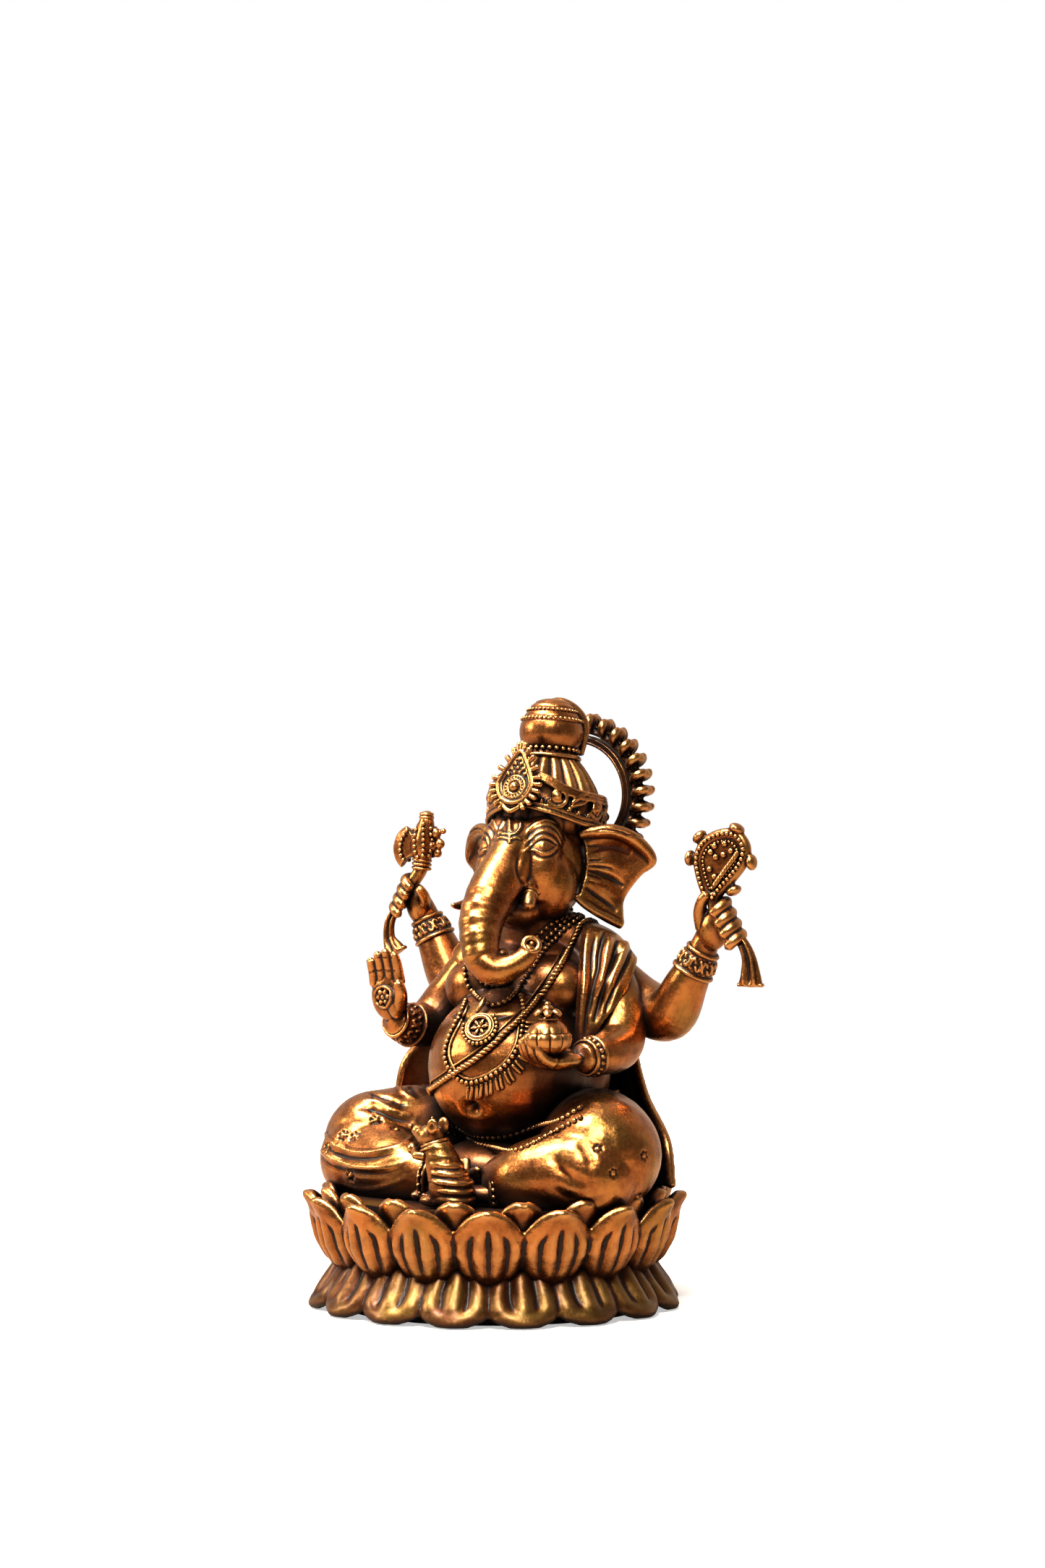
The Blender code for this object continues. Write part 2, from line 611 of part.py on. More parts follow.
def make_held_things(brass):
    """The axe, the noose, their cloth tails and the bowl of sweets, which the hands then close on."""
    bm = bmesh.new()
    handle = [(-29.0, 17.4, 64.2), (-26.2, 18.2, 68.6), (-24.6, 18.8, 74.0), (-23.9, 19.0, 79.6)]
    add_limb(bm, [(*p, r) for p, r in zip(handle, (1.1, 1.15, 1.2, 1.3))], sides=8)
    arc = [math.radians(a) for a in range(110, 251, 20)]
    blade = [(5.2 * math.cos(a) - 0.6, 5.6 * math.sin(a)) for a in arc] + [(0.4, -1.8), (2.6, -2.6),
                                                                           (4.6, 0), (2.6, 2.8), (0.4, 2.0)]
    add_prism(bm, blade, -0.85, 0.85, Matrix.Translation((-25.0, 18.8,
                                                          74.2)) @ Matrix.Rotation(math.radians(90), 4,
                                                                  "X"))
    place("axe", bm, brass, voxel=0.45, soften=1, faces=320)
    bm = bmesh.new()
    add_limb(bm, [(-29.3, 17.2, 62.9, 1.0), (-31.6, 17.2, 60.0, 1.2), (-32.8, 17.2, 56.6, 1.7),
                  (-32.6, 17.2, 54.6, 2.5)],
             sides=8, flat=0.55, facing=(0, 1, 0))
    place("axe_tail", bm, brass)
    bm = bmesh.new()
    noose_at = Matrix.Translation((35.4, 12.4, 72.4))
    turned = noose_at @ Matrix.Rotation(math.radians(90), 4, "X") @ Matrix.Rotation(math.radians(-6), 4, "Z")
    drop = []
    for k in range(16):
        t = 2 * math.pi * k / 16
        drop.append((4.4 * math.sin(t) * (1 - 0.5 * max(0, -math.cos(t))), 6.0 * math.cos(t)))
    add_prism(bm, drop, -1.1, 1.1, turned)
    add_limb(bm, [(33.4, 12.4, 62.2, 1.2), (34.6, 12.4, 66.5, 1.4), (35.0, 12.4, 70, 1.5)], sides=8)
    for knob in ((31.0, 12.4, 73.0), (31.6, 12.4, 76.2), (36.6, 12.4, 78.6), (39.9, 12.4, 73.2)):
        add_ball(bm, knob, (1.3, 1.3, 1.3), sides=8)
    place("noose", bm, brass, voxel=0.45, soften=1, faces=320)
    bm = bmesh.new()
    add_limb(bm, [(36.6, 12.2, 62.4, 1.0), (38.9, 12.2, 59.4, 1.3), (40.0, 12.2, 55.8, 1.8),
                  (40.4, 12.2, 52.6, 2.7)],
             sides=8, flat=0.55, facing=(0, 1, 0))
    place("noose_tail", bm, brass)
    bowl_at = Matrix.Translation((14.8, -9.0, 42.2))
    bm = bmesh.new()
    add_turned(bm, [(0, 0), (1.5, 0), (2.0, 0.5), (3.4, 1.8), (3.7, 3.0), (0, 3.0)], 16, bowl_at)
    place("sweets_bowl", bm, brass)
    bm = bmesh.new()
    add_turned(bm, [(0, 3.3), (3.3, 3.3), (3.1, 4.6), (1.9, 6.0), (0.9, 6.6), (1.0, 7.4), (0.4, 8.4),
                    (0, 8.6)], 14, bowl_at)
    place("sweets", bm, brass)


def make_arms(brass):
    for name, stations in ARMS.items():
        bm = bmesh.new()
        add_limb(bm, stations, sides=12, steps=4)
        add_ball(bm, stations[2][:3], (stations[2][3],) * 3)
        wrist, along, palm, curls, thumb = HANDS[name]
        add_hand(bm, wrist, along, palm, curls, thumb)
        place(name + "_arm", bm, brass, voxel=0.5, soften=1, faces=430, most=440)


def make_bracelets(brass):
    for name, stations in ARMS.items():
        lower, wrist = Vector(stations[3][:3]), Vector(stations[4][:3])
        at = lower.lerp(wrist, 0.72)
        radius = stations[3][3] + (stations[4][3] - stations[3][3]) * 0.72
        turned = (wrist - lower).to_track_quat("Z", "Y").to_matrix().to_4x4()
        loop = [(radius + 0.2, -1.2), (radius + 1.0, -1.2), (radius + 1.2, 0), (radius + 1.0, 1.2),
                (radius + 0.2, 1.2)]
        bm = bmesh.new()
        add_hoop(bm, lambda angle: loop, 18, Matrix.Translation(at) @ turned)
        place(name + "_bracelet", bm, brass)


# ---------------------------------------------------------------- cloth and jewellery


def make_cloth(brass):
    """The stole over the left shoulder, the shawl down the back, and the pleats on the seat."""
    bm = bmesh.new()
    rows = [
        [(5.0, 17.5, 60.5), (9.0, 21.0, 60.0), (13.5, 23.0, 57.0), (16.0, 22.4, 53.0)],
        [(5.4, 12.5, 61.0), (10.0, 14.5, 61.2), (14.8, 16.0, 59.0), (18.4, 16.0, 55.0)],
        [(6.0, 8.0, 58.3), (10.2, 7.6, 58.6), (14.6, 8.8, 56.2), (18.2, 10.4, 51.8)],
        [(8.2, 5.2, 53.0), (11.4, 4.4, 53.0), (14.6, 5.8, 51.2), (17.2, 8.0, 48.6)],
        [(10.0, 4.6, 46.5), (12.2, 3.8, 46.6), (14.4, 4.4, 46.0), (16.2, 6.0, 45.0)],
    ]
    add_sheet(bm, rows, 1.3)
    place("shoulder_stole", bm, brass)
    bm = bmesh.new()
    rows = [
        [(-12, 21.5, 59), (-5, 24.2, 60), (3, 24.6, 60), (10, 23.4, 59)],
        [(-15.0, 23.5, 52), (-6, 26.0, 51), (5, 26.0, 51), (12.5, 24.5, 52)],
        [(-15.0, 22.5, 43), (-6, 25.8, 42), (5, 25.8, 42), (12.5, 24.5, 43)],
        [(-19.0, 18.5, 34), (-8, 25.4, 33), (7, 25.4, 33), (16.5, 21.5, 34)],
        [(-24.5, 14.5, 27), (-10, 25.0, 25), (10, 25.0, 25), (24.0, 15.0, 27)],
        [(-25.8, 13.8, 19.4), (-10, 23.0, 18.6), (10, 23.0, 18.6), (26.0, 13.2, 19.4)],
    ]
    add_sheet(bm, rows, 1.4)
    place("back_shawl", bm, brass)
    bm = bmesh.new()
    for k in range(6):
        x = -6.5 + 1.9 * k
        add_limb(bm, [(0.3 * x - 1, -8.8, 24.5, 0.9), (0.7 * x - 0.8, -11.5, 20.4, 1.1),
                      (x, -14.4, 18.6, 0.9)],
                 sides=6, steps=2)
    place("dhoti_pleats", bm, brass, voxel=0.5, soften=1, faces=200, most=220)


def make_jewellery(brass, torso):
    """Chains and the sacred thread as cords laid on the chest and belly, and the pendant disc."""
    routes = {
        "short_necklace": ([(-7.6, 10.0, 61.0), (-5.6, 4.4, 56.5), (-2.4, 0.0, 52.6), (1.4, -1.0, 51.6),
                            (5.0, 1.4, 53.6),
                            (8.0, 7.0, 58.4), (9.0, 11.6, 61.5)], 1.0),
        "long_necklace": ([(-8.6, 9.6, 58.5), (-9.6, 2.0, 51.0), (-9.4, -3.8, 44.0), (-6.0, -7.6, 37.4),
                           (0.2, -9.6, 35.0),
                           (6.4, -8.0, 38.4), (9.2, -4.0, 44.4), (9.8, 1.8, 51.0), (9.6, 9.0, 58.6)], 0.7),
        "sacred_thread": ([(11.4, 8.4, 58.2), (8.8, 2.4, 51.8), (5.0, -4.2, 46.2), (0.0, -7.6, 40.6),
                           (-6.0, -7.8, 35.4),
                           (-11.2, -3.0, 32.0)], 0.65),
        "waist_belt": ([(-14.6, 6.0, 31.0), (-11.4, -2.8, 30.0), (-5.0, -7.4, 29.2), (1.0, -8.2, 29.0),
                        (7.0, -6.6, 29.4),
                        (12.6, -1.4, 30.6), (15.2, 6.2, 32.0)], 1.0),
    }
    for name, (points, radius) in routes.items():
        dense = [tuple(r[:3]) for r in smooth_route([(*p, 0) for p in points], 3)]
        stations = [(*p, radius) for p in laid_on([torso], dense, FIT_GAP + radius)]
        bm = bmesh.new()
        add_limb(bm, stations, sides=6, steps=1)
        place(name, bm, brass)
    bm = bmesh.new()
    (at,) = laid_on([torso], [(-1.6, -8.6, 46.8)], FIT_GAP + 0.2)
    (out,) = laid_on([torso], [(-1.6, -8.6, 46.8)], FIT_GAP + 1.2)
    turned = (Vector(out) - Vector(at)).to_track_quat("Z", "Y").to_matrix().to_4x4()
    add_turned(bm, [(0, 0), (3.2, 0), (3.2, 1.0), (2.2, 1.4), (0, 1.4)], 16,
               Matrix.Translation(at) @ turned)
    place("pendant", bm, brass)


def make_anklets(brass):
    for name, at, along, radius in (("right_anklet", (-4.6, -10.0, 20.9), (1, -0.2, 0.05), 3.9),
                                    ("left_anklet", (7.4, -12.6, 20.1), (-0.9, -0.45, -0.05), 3.0)):
        turned = Vector(along).to_track_quat("Z", "Y").to_matrix().to_4x4()
        loop = [(radius, -0.8), (radius + 0.9, -0.8), (radius + 0.9, 0.8), (radius, 0.8)]
        bm = bmesh.new()
        add_hoop(bm, lambda angle: loop, 16, Matrix.Translation(at) @ turned)
        place(name, bm, brass)


def make_mouse(brass):
    """The mouse that sits up in front of the feet, facing the figure's right, with a cloth on its back."""
    bm = bmesh.new()
    add_ball(bm, (3.2, -19.2, 21.4), (3.4, 2.9, 4.0), turn=(0, -24, 0))
    add_ball(bm, (1.0, -19.2, 25.6), (2.4, 2.2, 3.2), turn=(0, -20, 0))
    add_ball(bm, (-0.6, -19.2, 29.0), (2.3, 1.9, 1.9), turn=(0, 20, 0))
    add_limb(bm, [(-1.6, -19.2, 29.2, 1.5), (-3.6, -19.2, 30.2, 0.8)], sides=8)
    for y in (-17.5, -20.9):
        add_ball(bm, (0.8, y, 30.9), (1.0, 0.7, 1.3), sides=8)
        add_limb(bm, [(-0.6, y, 26.0, 0.8), (-2.4, y, 26.2, 0.7), (-3.4, -19.2, 27.0, 0.6)], sides=6)
        add_ball(bm, (0.2, y - 0.4 * (y + 19.2), 18.8), (2.2, 1.2, 1.0), sides=8)
    add_ball(bm, (-3.9, -19.2, 27.0), (1.0, 1.0, 1.0), sides=8)
    place("mouse", bm, brass, voxel=0.45, soften=1, faces=380, most=400)
    bm = bmesh.new()
    rows = [[(3.0, -21.4, 28.2), (3.8, -19.2, 28.6), (3.0, -17.0, 28.2)],
            [(4.6, -22.0, 25.6), (5.4, -19.2, 25.8), (4.6, -16.4, 25.6)],
            [(6.2, -22.4, 22.8), (7.4, -19.2, 23.0), (6.2, -16.0, 22.8)],
            [(7.0, -22.4, 19.8), (8.2, -19.2, 19.8), (7.0, -16.0, 19.8)]]
    add_sheet(bm, rows, 1.2)
    place("mouse_cloth", bm, brass)


def main():
    clear_scene()
    brass = finish_of("antique_brass", (0.46, 0.23, 0.06), 0.34, 1.0)
    steel = finish_of("pin_steel", (0.45, 0.45, 0.46), 0.4, 1.0)
    felt = finish_of("felt", (0.03, 0.03, 0.03), 0.95, 0.0)
    make_pins(steel)
    make_throne(brass, felt)
    torso = make_torso(brass)
    make_legs(brass)
    make_feet(brass)
    make_head(brass)
    make_face_parts(brass)
    make_crown(brass)
    make_halo(brass)
    make_held_things(brass)
    make_arms(brass)
    make_bracelets(brass)
    make_cloth(brass)
    make_jewellery(brass, torso)
    make_anklets(brass)
    make_mouse(brass)


main()
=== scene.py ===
"""Looks of the seated elephant-headed deity: a small lost-wax casting in antique brass.

Everything is modelled in millimetres, in the frame's own axes: z = 0 on the table, the face towards
-Y, the figure's left hand towards +X. Each piece is scaled to metres as it becomes an object.
"""

import json
import math

import bpy
import numpy as np
from mathutils import Euler, Matrix, Vector
from mathutils.bvhtree import BVHTree

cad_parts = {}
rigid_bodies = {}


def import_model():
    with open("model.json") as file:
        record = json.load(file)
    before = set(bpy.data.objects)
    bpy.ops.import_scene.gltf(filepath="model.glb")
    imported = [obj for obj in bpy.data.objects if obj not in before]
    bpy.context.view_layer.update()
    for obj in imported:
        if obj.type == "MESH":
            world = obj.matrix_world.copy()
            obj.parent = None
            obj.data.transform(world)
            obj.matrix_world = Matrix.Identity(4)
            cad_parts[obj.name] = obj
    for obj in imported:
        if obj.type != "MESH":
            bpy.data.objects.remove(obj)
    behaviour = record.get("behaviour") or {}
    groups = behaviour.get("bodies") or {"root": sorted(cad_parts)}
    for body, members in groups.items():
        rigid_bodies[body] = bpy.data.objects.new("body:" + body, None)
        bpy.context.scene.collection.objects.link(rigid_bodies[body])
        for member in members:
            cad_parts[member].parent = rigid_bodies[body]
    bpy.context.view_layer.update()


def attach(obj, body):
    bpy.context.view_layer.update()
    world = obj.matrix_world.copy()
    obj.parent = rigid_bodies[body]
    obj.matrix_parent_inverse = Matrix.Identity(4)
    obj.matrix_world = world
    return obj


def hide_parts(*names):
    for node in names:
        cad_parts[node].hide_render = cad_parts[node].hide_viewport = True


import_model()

MM = 0.001
AZIMUTH = math.radians(30)
RIGHTWARD = np.array([math.cos(AZIMUTH), math.sin(AZIMUTH), 0.0])
TOWARD = np.array([math.sin(AZIMUTH), -math.cos(AZIMUTH), 0.0])
UP = np.array([0.0, 0.0, 1.0])
CAMERA_DISTANCE = 0.609
CAMERA_SHIFT = 0.0046
CAMERA_HEIGHT = 0.0855
CAMERA_LENS = 85
CAMERA_SENSOR = 36
PETALS = 16
PETAL_TURN = 6.0
HALO_LOBES = 29
BELLY = (0.6, 4.5, 38.8)
HEAD = (0, 14.0, 71.5)
CROWN_BASE = (0, 17.2, 79.3)
CROWN_LEAN = 7.0
HALO = (0, 28.6, 83.7)
HAND_LENGTH = 12.6
GRIP_FRONT = np.array([0.1, -1.0, 0.0])
FLOOR_REACH = 0.7


# ---------------------------------------------------------------- finishes


def linear(hex_colour):
    """An sRGB hex colour as linear red, green, blue and alpha."""
    parts = [int(hex_colour[i:i + 2], 16) / 255 for i in (1, 3, 5)]
    return (*(c / 12.92 if c <= 0.04045 else ((c + 0.055) / 1.055) ** 2.4 for c in parts), 1.0)


def add_node(tree, kind, inputs=None, **settings):
    """Adds one node. inputs maps a socket's name or number to a value, or to the output that feeds it."""
    node = tree.nodes.new(kind)
    for name, value in settings.items():
        setattr(node, name, value)
    for socket, value in (inputs or {}).items():
        if isinstance(value, bpy.types.NodeSocket):
            tree.links.new(value, node.inputs[socket])
        else:
            node.inputs[socket].default_value = value
    return node


def spread(tree, value, low, high, to_low=0.0, to_high=1.0):
    """The value taken from the range low to high onto the range to_low to to_high, and held there."""
    inputs = {"Value": value, "From Min": low, "From Max": high, "To Min": to_low, "To Max": to_high}
    return add_node(tree, "ShaderNodeMapRange", inputs).outputs["Result"]


def blend(tree, factor, first, second, way="MIX"):
    """Two colours mixed; factor 0 gives the first."""
    return add_node(tree, "ShaderNodeMix", {"Factor": factor, 6: first, 7: second},
                    data_type="RGBA", blend_type=way).outputs[2]


def math_of(tree, way, first, second):
    """One sum, product or other step of arithmetic between two values."""
    return add_node(tree, "ShaderNodeMath", {0: first, 1: second}, operation=way).outputs[0]


def new_finish(name):
    """A new material, with its node tree and its main shader."""
    made = bpy.data.materials.new(name)
    made.use_nodes = True
    tree = made.node_tree
    return made, tree, tree.nodes["Principled BSDF"]


def antique_brass(name, bright, deep, polish):
    """Cast brass, blackened in a bath and rubbed back by hand.

    The liver-brown skin stays in every hollow, and the high places come up bright and golden. Where
    neighbouring parts crowd each other the colour darkens, partly that skin kept in the tight gaps and
    partly painted shade; the wider darkening under overhangs and between close parts is painted shade.
    The cast skin is a little uneven, so that reflections wander over it, and a thin lacquer gives the
    brightest places a paler sheen.
    """
    made, tree, shader = new_finish(name)
    shader.inputs["Coat Weight"].default_value = 0.25
    shader.inputs["Coat Roughness"].default_value = 0.3
    where = add_node(tree, "ShaderNodeTexCoord").outputs["Object"]
    hollow = add_node(tree, "ShaderNodeAttribute", attribute_name="hollow").outputs["Fac"]
    # near and wide are ambient occlusion: how closely other surfaces close in round each point.
    near = add_node(tree, "ShaderNodeAmbientOcclusion", {"Distance": 1.8 * MM}, samples=6).outputs["AO"]
    wide = add_node(tree, "ShaderNodeAmbientOcclusion", {"Distance": 11.0 * MM}, samples=6).outputs["AO"]
    cloud = add_node(tree, "ShaderNodeTexNoise", {"Vector": where, "Scale": 260.0, "Detail": 4.0,
                                                  "Roughness": 0.6}).outputs["Fac"]
    speck = add_node(tree, "ShaderNodeTexNoise", {"Vector": where, "Scale": 1900.0, "Detail": 3.0,
                                                  "Roughness": 0.65}).outputs["Fac"]
    drift = add_node(tree, "ShaderNodeTexNoise", {"Vector": where, "Scale": 110.0,
                                                  "Detail": 2.0}).outputs["Fac"]
    tone = blend(tree, spread(tree, cloud, 0.38, 0.66), linear(bright), linear(deep))
    tone = blend(tree, spread(tree, drift, 0.48, 0.62, 0.0, 0.45), tone, linear("#8f7434"))
    in_hollow = spread(tree, math_of(tree, "ADD", hollow, math_of(tree, "MULTIPLY", speck, 0.22)), 0.2, 0.6)
    # between: partly patina kept in the tight gaps between neighbours, partly painted shade there.
    between = spread(tree, math_of(tree, "ADD", near, math_of(tree, "MULTIPLY", speck, 0.25)), 0.98, 0.5)
    # under: painted shade wherever other parts close in within about 11 mm, under overhangs and between
    # close parts.
    under = spread(tree, math_of(tree, "ADD", wide, math_of(tree, "MULTIPLY", cloud, 0.4)), 0.97, 0.56)
    # dark joins the patina in hollows with that painted shade; brown and skin darken the colour by it.
    dark = math_of(tree, "MAXIMUM", math_of(tree, "MAXIMUM", in_hollow, between), under)
    rubbed = spread(tree, hollow, -0.12, -0.7, 0.0, 0.55)
    lit = blend(tree, rubbed, tone, linear("#d9a566"))
    brown = blend(tree, spread(tree, dark, 0.0, 0.45), lit, linear("#481d08"))
    skin = blend(tree, spread(tree, dark, 0.4, 1.0), brown, linear("#0f0603"))
    tree.links.new(skin, shader.inputs["Base Color"])
    rough = math_of(tree, "ADD", spread(tree, dark, 0.0, 1.0, polish, polish + 0.3),
                    spread(tree, speck, 0.3, 0.7, -0.05, 0.07))
    tree.links.new(rough, shader.inputs["Roughness"])
    tree.links.new(spread(tree, dark, 0.5, 1.0, 1.0, 0.72), shader.inputs["Metallic"])
    waves = add_node(tree, "ShaderNodeTexNoise", {"Vector": where, "Scale": 420.0,
                                                  "Detail": 2.0}).outputs["Fac"]
    grit = add_node(tree, "ShaderNodeTexNoise", {"Vector": where, "Scale": 1000.0,
                                                 "Detail": 2.0}).outputs["Fac"]
    height = math_of(tree, "ADD", math_of(tree, "MULTIPLY", waves, 0.2),
                     math_of(tree, "MULTIPLY", math_of(tree, "ADD", speck, grit), 0.07))
    bump = add_node(tree, "ShaderNodeBump", {"Height": height, "Strength": 0.55, "Distance": 1.0 * MM})
    tree.links.new(bump.outputs["Normal"], shader.inputs["Normal"])
    return made


def black_felt():
    """Pressed wool felt, glued under the throne: matt black with a short uneven nap."""
    made, tree, shader = new_finish("pressed_felt")
    where = add_node(tree, "ShaderNodeTexCoord").outputs["Object"]
    nap = add_node(tree, "ShaderNodeTexNoise", {"Vector": where, "Scale": 3000.0,
                                                "Detail": 4.0}).outputs["Fac"]
    tree.links.new(blend(tree, nap, linear("#0d0c0c"), linear("#2a2827")), shader.inputs["Base Color"])
    shader.inputs["Roughness"].default_value = 0.95
    bump = add_node(tree, "ShaderNodeBump", {"Height": nap, "Strength": 0.8, "Distance": 0.1 * MM})
    tree.links.new(bump.outputs["Normal"], shader.inputs["Normal"])
    return made


def drawn_steel():
    """Plain drawn steel pins: grey, with fine scratches round them."""
    made, tree, shader = new_finish("drawn_steel")
    where = add_node(tree, "ShaderNodeTexCoord").outputs["Object"]
    lines = add_node(tree, "ShaderNodeTexNoise", {"Vector": where, "Scale": 2500.0}).outputs["Fac"]
    tree.links.new(blend(tree, lines, linear("#8d8d90"), linear("#b4b4b6")), shader.inputs["Base Color"])
    tree.links.new(spread(tree, lines, 0.3, 0.7, 0.28, 0.42), shader.inputs["Roughness"])
    shader.inputs["Metallic"].default_value = 1.0
    return made


BRASS = antique_brass("antique_cast_brass", "#b8753a", "#7c451b", 0.26)
# A darker, rougher copy of the brass for pieces that sit low or behind others: painted shade, with some
# heavier patina on the lower petals.
SHADED_BRASS = antique_brass("shaded_cast_brass", "#54341a", "#301a0b", 0.42)


# ---------------------------------------------------------------- points, paths and simple shapes


def route(stations, steps=6):
    """Points on a smooth curve through the stations; every column is carried along, the radius too."""
    rows = [np.array(s, float) for s in stations]
    rows = [2 * rows[0] - rows[1], *rows, 2 * rows[-1] - rows[-2]]
    out = []
    for a, b, c, d in zip(rows, rows[1:], rows[2:], rows[3:]):
        for k in range(steps):
            t = k / steps
            out.append(0.5 * (2 * b + (c - a) * t + (2 * a - 5 * b + 4 * c - d) * t**2
                              + (3 * b - a - 3 * c + d) * t**3))
    out.append(rows[-2])
    return np.array(out)


def evenly(path, spacing):
    """Places along the path this far apart, and the way the path runs at each."""
    path = np.array(path, float)
    along = np.concatenate([[0], np.cumsum(np.linalg.norm(np.diff(path, axis=0), axis=1))])
    count = max(2, int(round(along[-1] / spacing)) + 1)
    at = np.linspace(0, along[-1], count)
    places = np.stack([np.interp(at, along, path[:, k]) for k in range(3)], axis=1)
    ways = np.gradient(places, axis=0)
    return places, ways / np.linalg.norm(ways, axis=1, keepdims=True)


def unit(v):
    """The vector at length 1."""
    v = np.array(v, float)
    return v / max(np.linalg.norm(v), 1e-9)


def merged(*shapes):
    """Several shapes, each an array of points and a list of faces, as one."""
    points, faces, start = [], [], 0
    for shape_points, shape_faces in shapes:
        points.append(shape_points)
        faces.extend([tuple(i + start for i in face) for face in shape_faces])
        start += len(shape_points)
    return np.concatenate(points), faces


def turned(shape, matrix):
    """A shape moved by a matrix; its faces turn round if the matrix mirrors it."""
    m = np.array(matrix)
    points, faces = shape
    flip = np.linalg.det(m[:3, :3]) < 0
    return points @ m[:3, :3].T + m[:3, 3], [f[::-1] for f in faces] if flip else faces


def placed(x_axis, y_axis, z_axis, at, scale=(1, 1, 1)):
    """The matrix that puts a shape's own axes along these, at this point."""
    m = np.eye(4)
    m[:3, 0] = np.array(x_axis) * scale[0]
    m[:3, 1] = np.array(y_axis) * scale[1]
    m[:3, 2] = np.array(z_axis) * scale[2]
    m[:3, 3] = at
    return m


def standing(normal, way, at, scale=(1, 1, 1)):
    """The matrix of something that stands on a surface: its Z along the normal, its X along way."""
    z = unit(normal)
    x = unit(np.array(way) - z * np.dot(way, z))
    return placed(x, np.cross(z, x), z, at, scale)


def mirrored(shape):
    """A shape taken over to the figure's other side."""
    return turned(shape, np.diag([-1, 1, 1, 1]))


def primitive(add, **settings):
    """The points and faces of one of Blender's own primitives, which is taken away again."""
    bpy.ops.object.select_all(action="DESELECT")
    add(**settings)
    made = bpy.context.object
    points = np.empty(len(made.data.vertices) * 3)
    made.data.vertices.foreach_get("co", points)
    faces = [tuple(p.vertices) for p in made.data.polygons]
    bpy.data.objects.remove(made, do_unlink=True)
    return points.reshape(-1, 3), faces


BALL = primitive(bpy.ops.mesh.primitive_uv_sphere_add, segments=24, ring_count=16, radius=1)
BEAD = primitive(bpy.ops.mesh.primitive_uv_sphere_add, segments=8, ring_count=6, radius=1)


def ball(centre, radii, turn=(0, 0, 0)):
    """An ellipsoid of these half sizes, turned about X, Y and Z by degrees."""
    m = np.array(Euler([math.radians(a) for a in turn]).to_matrix()) @ np.diag(radii)
    return BALL[0] @ m.T + np.array(centre), BALL[1]


def beads(places, radius, normals=None):
    """Beads of this radius, or of these radii, at the places."""
    out = []
    radii = np.broadcast_to(radius, len(places))
    for k, at in enumerate(places):
        z = unit(normals[k]) if normals is not None else UP
        x = unit(np.cross(z, (0.3, 0.5, 0.8)))
        out.append(turned(BEAD, placed(x, np.cross(z, x), z, at, (radii[k],) * 3)))
    return merged(*out)


def tube(stations, sides=12, steps=5, flat=1.0, facing=None, smooth=True, blunt=0.5):
    """A round or flattened tube through the stations of x, y, z and radius, closed at its ends.

    flat is its thickness along facing as a share of its width across it.
    """
    path = route(stations, steps) if smooth else np.array(stations, float)
    centres, radii = path[:, :3], np.maximum(path[:, 3], 0.03)
    ways = np.gradient(centres, axis=0)
    ways /= np.linalg.norm(ways, axis=1, keepdims=True) + 1e-12
    thin = np.array(facing, float) if facing is not None else np.array([0.13, 0.21, 0.97])
    angles = np.linspace(0, 2 * math.pi, sides, endpoint=False)
    rings = []
    for centre, way, radius in zip(centres, ways, radii):
        across = thin - way * thin.dot(way)
        if np.linalg.norm(across) < 0.05:
            across = np.cross(way, (1, 0.2, 0.1))
        across = unit(across)
        if facing is None:
            thin = across
        wide = np.cross(way, across)
        ring = np.outer(np.cos(angles), wide) + np.outer(np.sin(angles), across) * flat
        rings.append(centre + ring * radius)
    tips = [centres[0] - ways[0] * radii[0] * blunt * flat,
            centres[-1] + ways[-1] * radii[-1] * blunt * flat]
    points = np.concatenate([*rings, tips])
    faces = []
    for i in range(len(rings) - 1):
        for k in range(sides):
            j = (k + 1) % sides
            faces.append((i * sides + k, i * sides + j, (i + 1) * sides + j, (i + 1) * sides + k))
    last = (len(rings) - 1) * sides
    for k in range(sides):
        j = (k + 1) % sides
        faces.append((len(points) - 2, j, k))
        faces.append((len(points) - 1, last + k, last + j))
    return points, faces


def lathe(profile, steps, matrix=np.eye(4), wave=None):
    """A solid of revolution about Z, from axis to axis; wave(angle, height) adds to the radius."""
    angles = np.linspace(0, 2 * math.pi, steps, endpoint=False)
    points, faces = [], []
    rings = []
    for radius, height in profile:
        if radius <= 0:
            rings.append([len(points)] * steps)
            points.append((0, 0, height))
            continue
        rings.append(list(range(len(points), len(points) + steps)))
        for a in angles:
            r = radius + (wave(a, height) if wave else 0)
            points.append((r * math.cos(a), r * math.sin(a), height))
    for low, high in zip(rings, rings[1:]):
        for k in range(steps):
            j = (k + 1) % steps
            faces.append(tuple(dict.fromkeys((low[k], low[j], high[j], high[k]))))
    return turned((np.array(points, float), faces), matrix)


def hoop(section, columns, matrix=np.eye(4)):
    """A closed ring about Z. section(angle) gives the loop of (radius, height) there, angle 0 at -Y."""
    points, faces, size = [], [], 0
    for k in range(columns):
        a = 2 * math.pi * k / columns
        loop = section(a)
        size = len(loop)
        points.extend((r * math.sin(a), -r * math.cos(a), z) for r, z in loop)
    for k in range(columns):
        n = (k + 1) % columns
        for i in range(size):
            j = (i + 1) % size
            faces.append((k * size + i, k * size + j, n * size + j, n * size + i))
    return turned((np.array(points, float), faces), matrix)


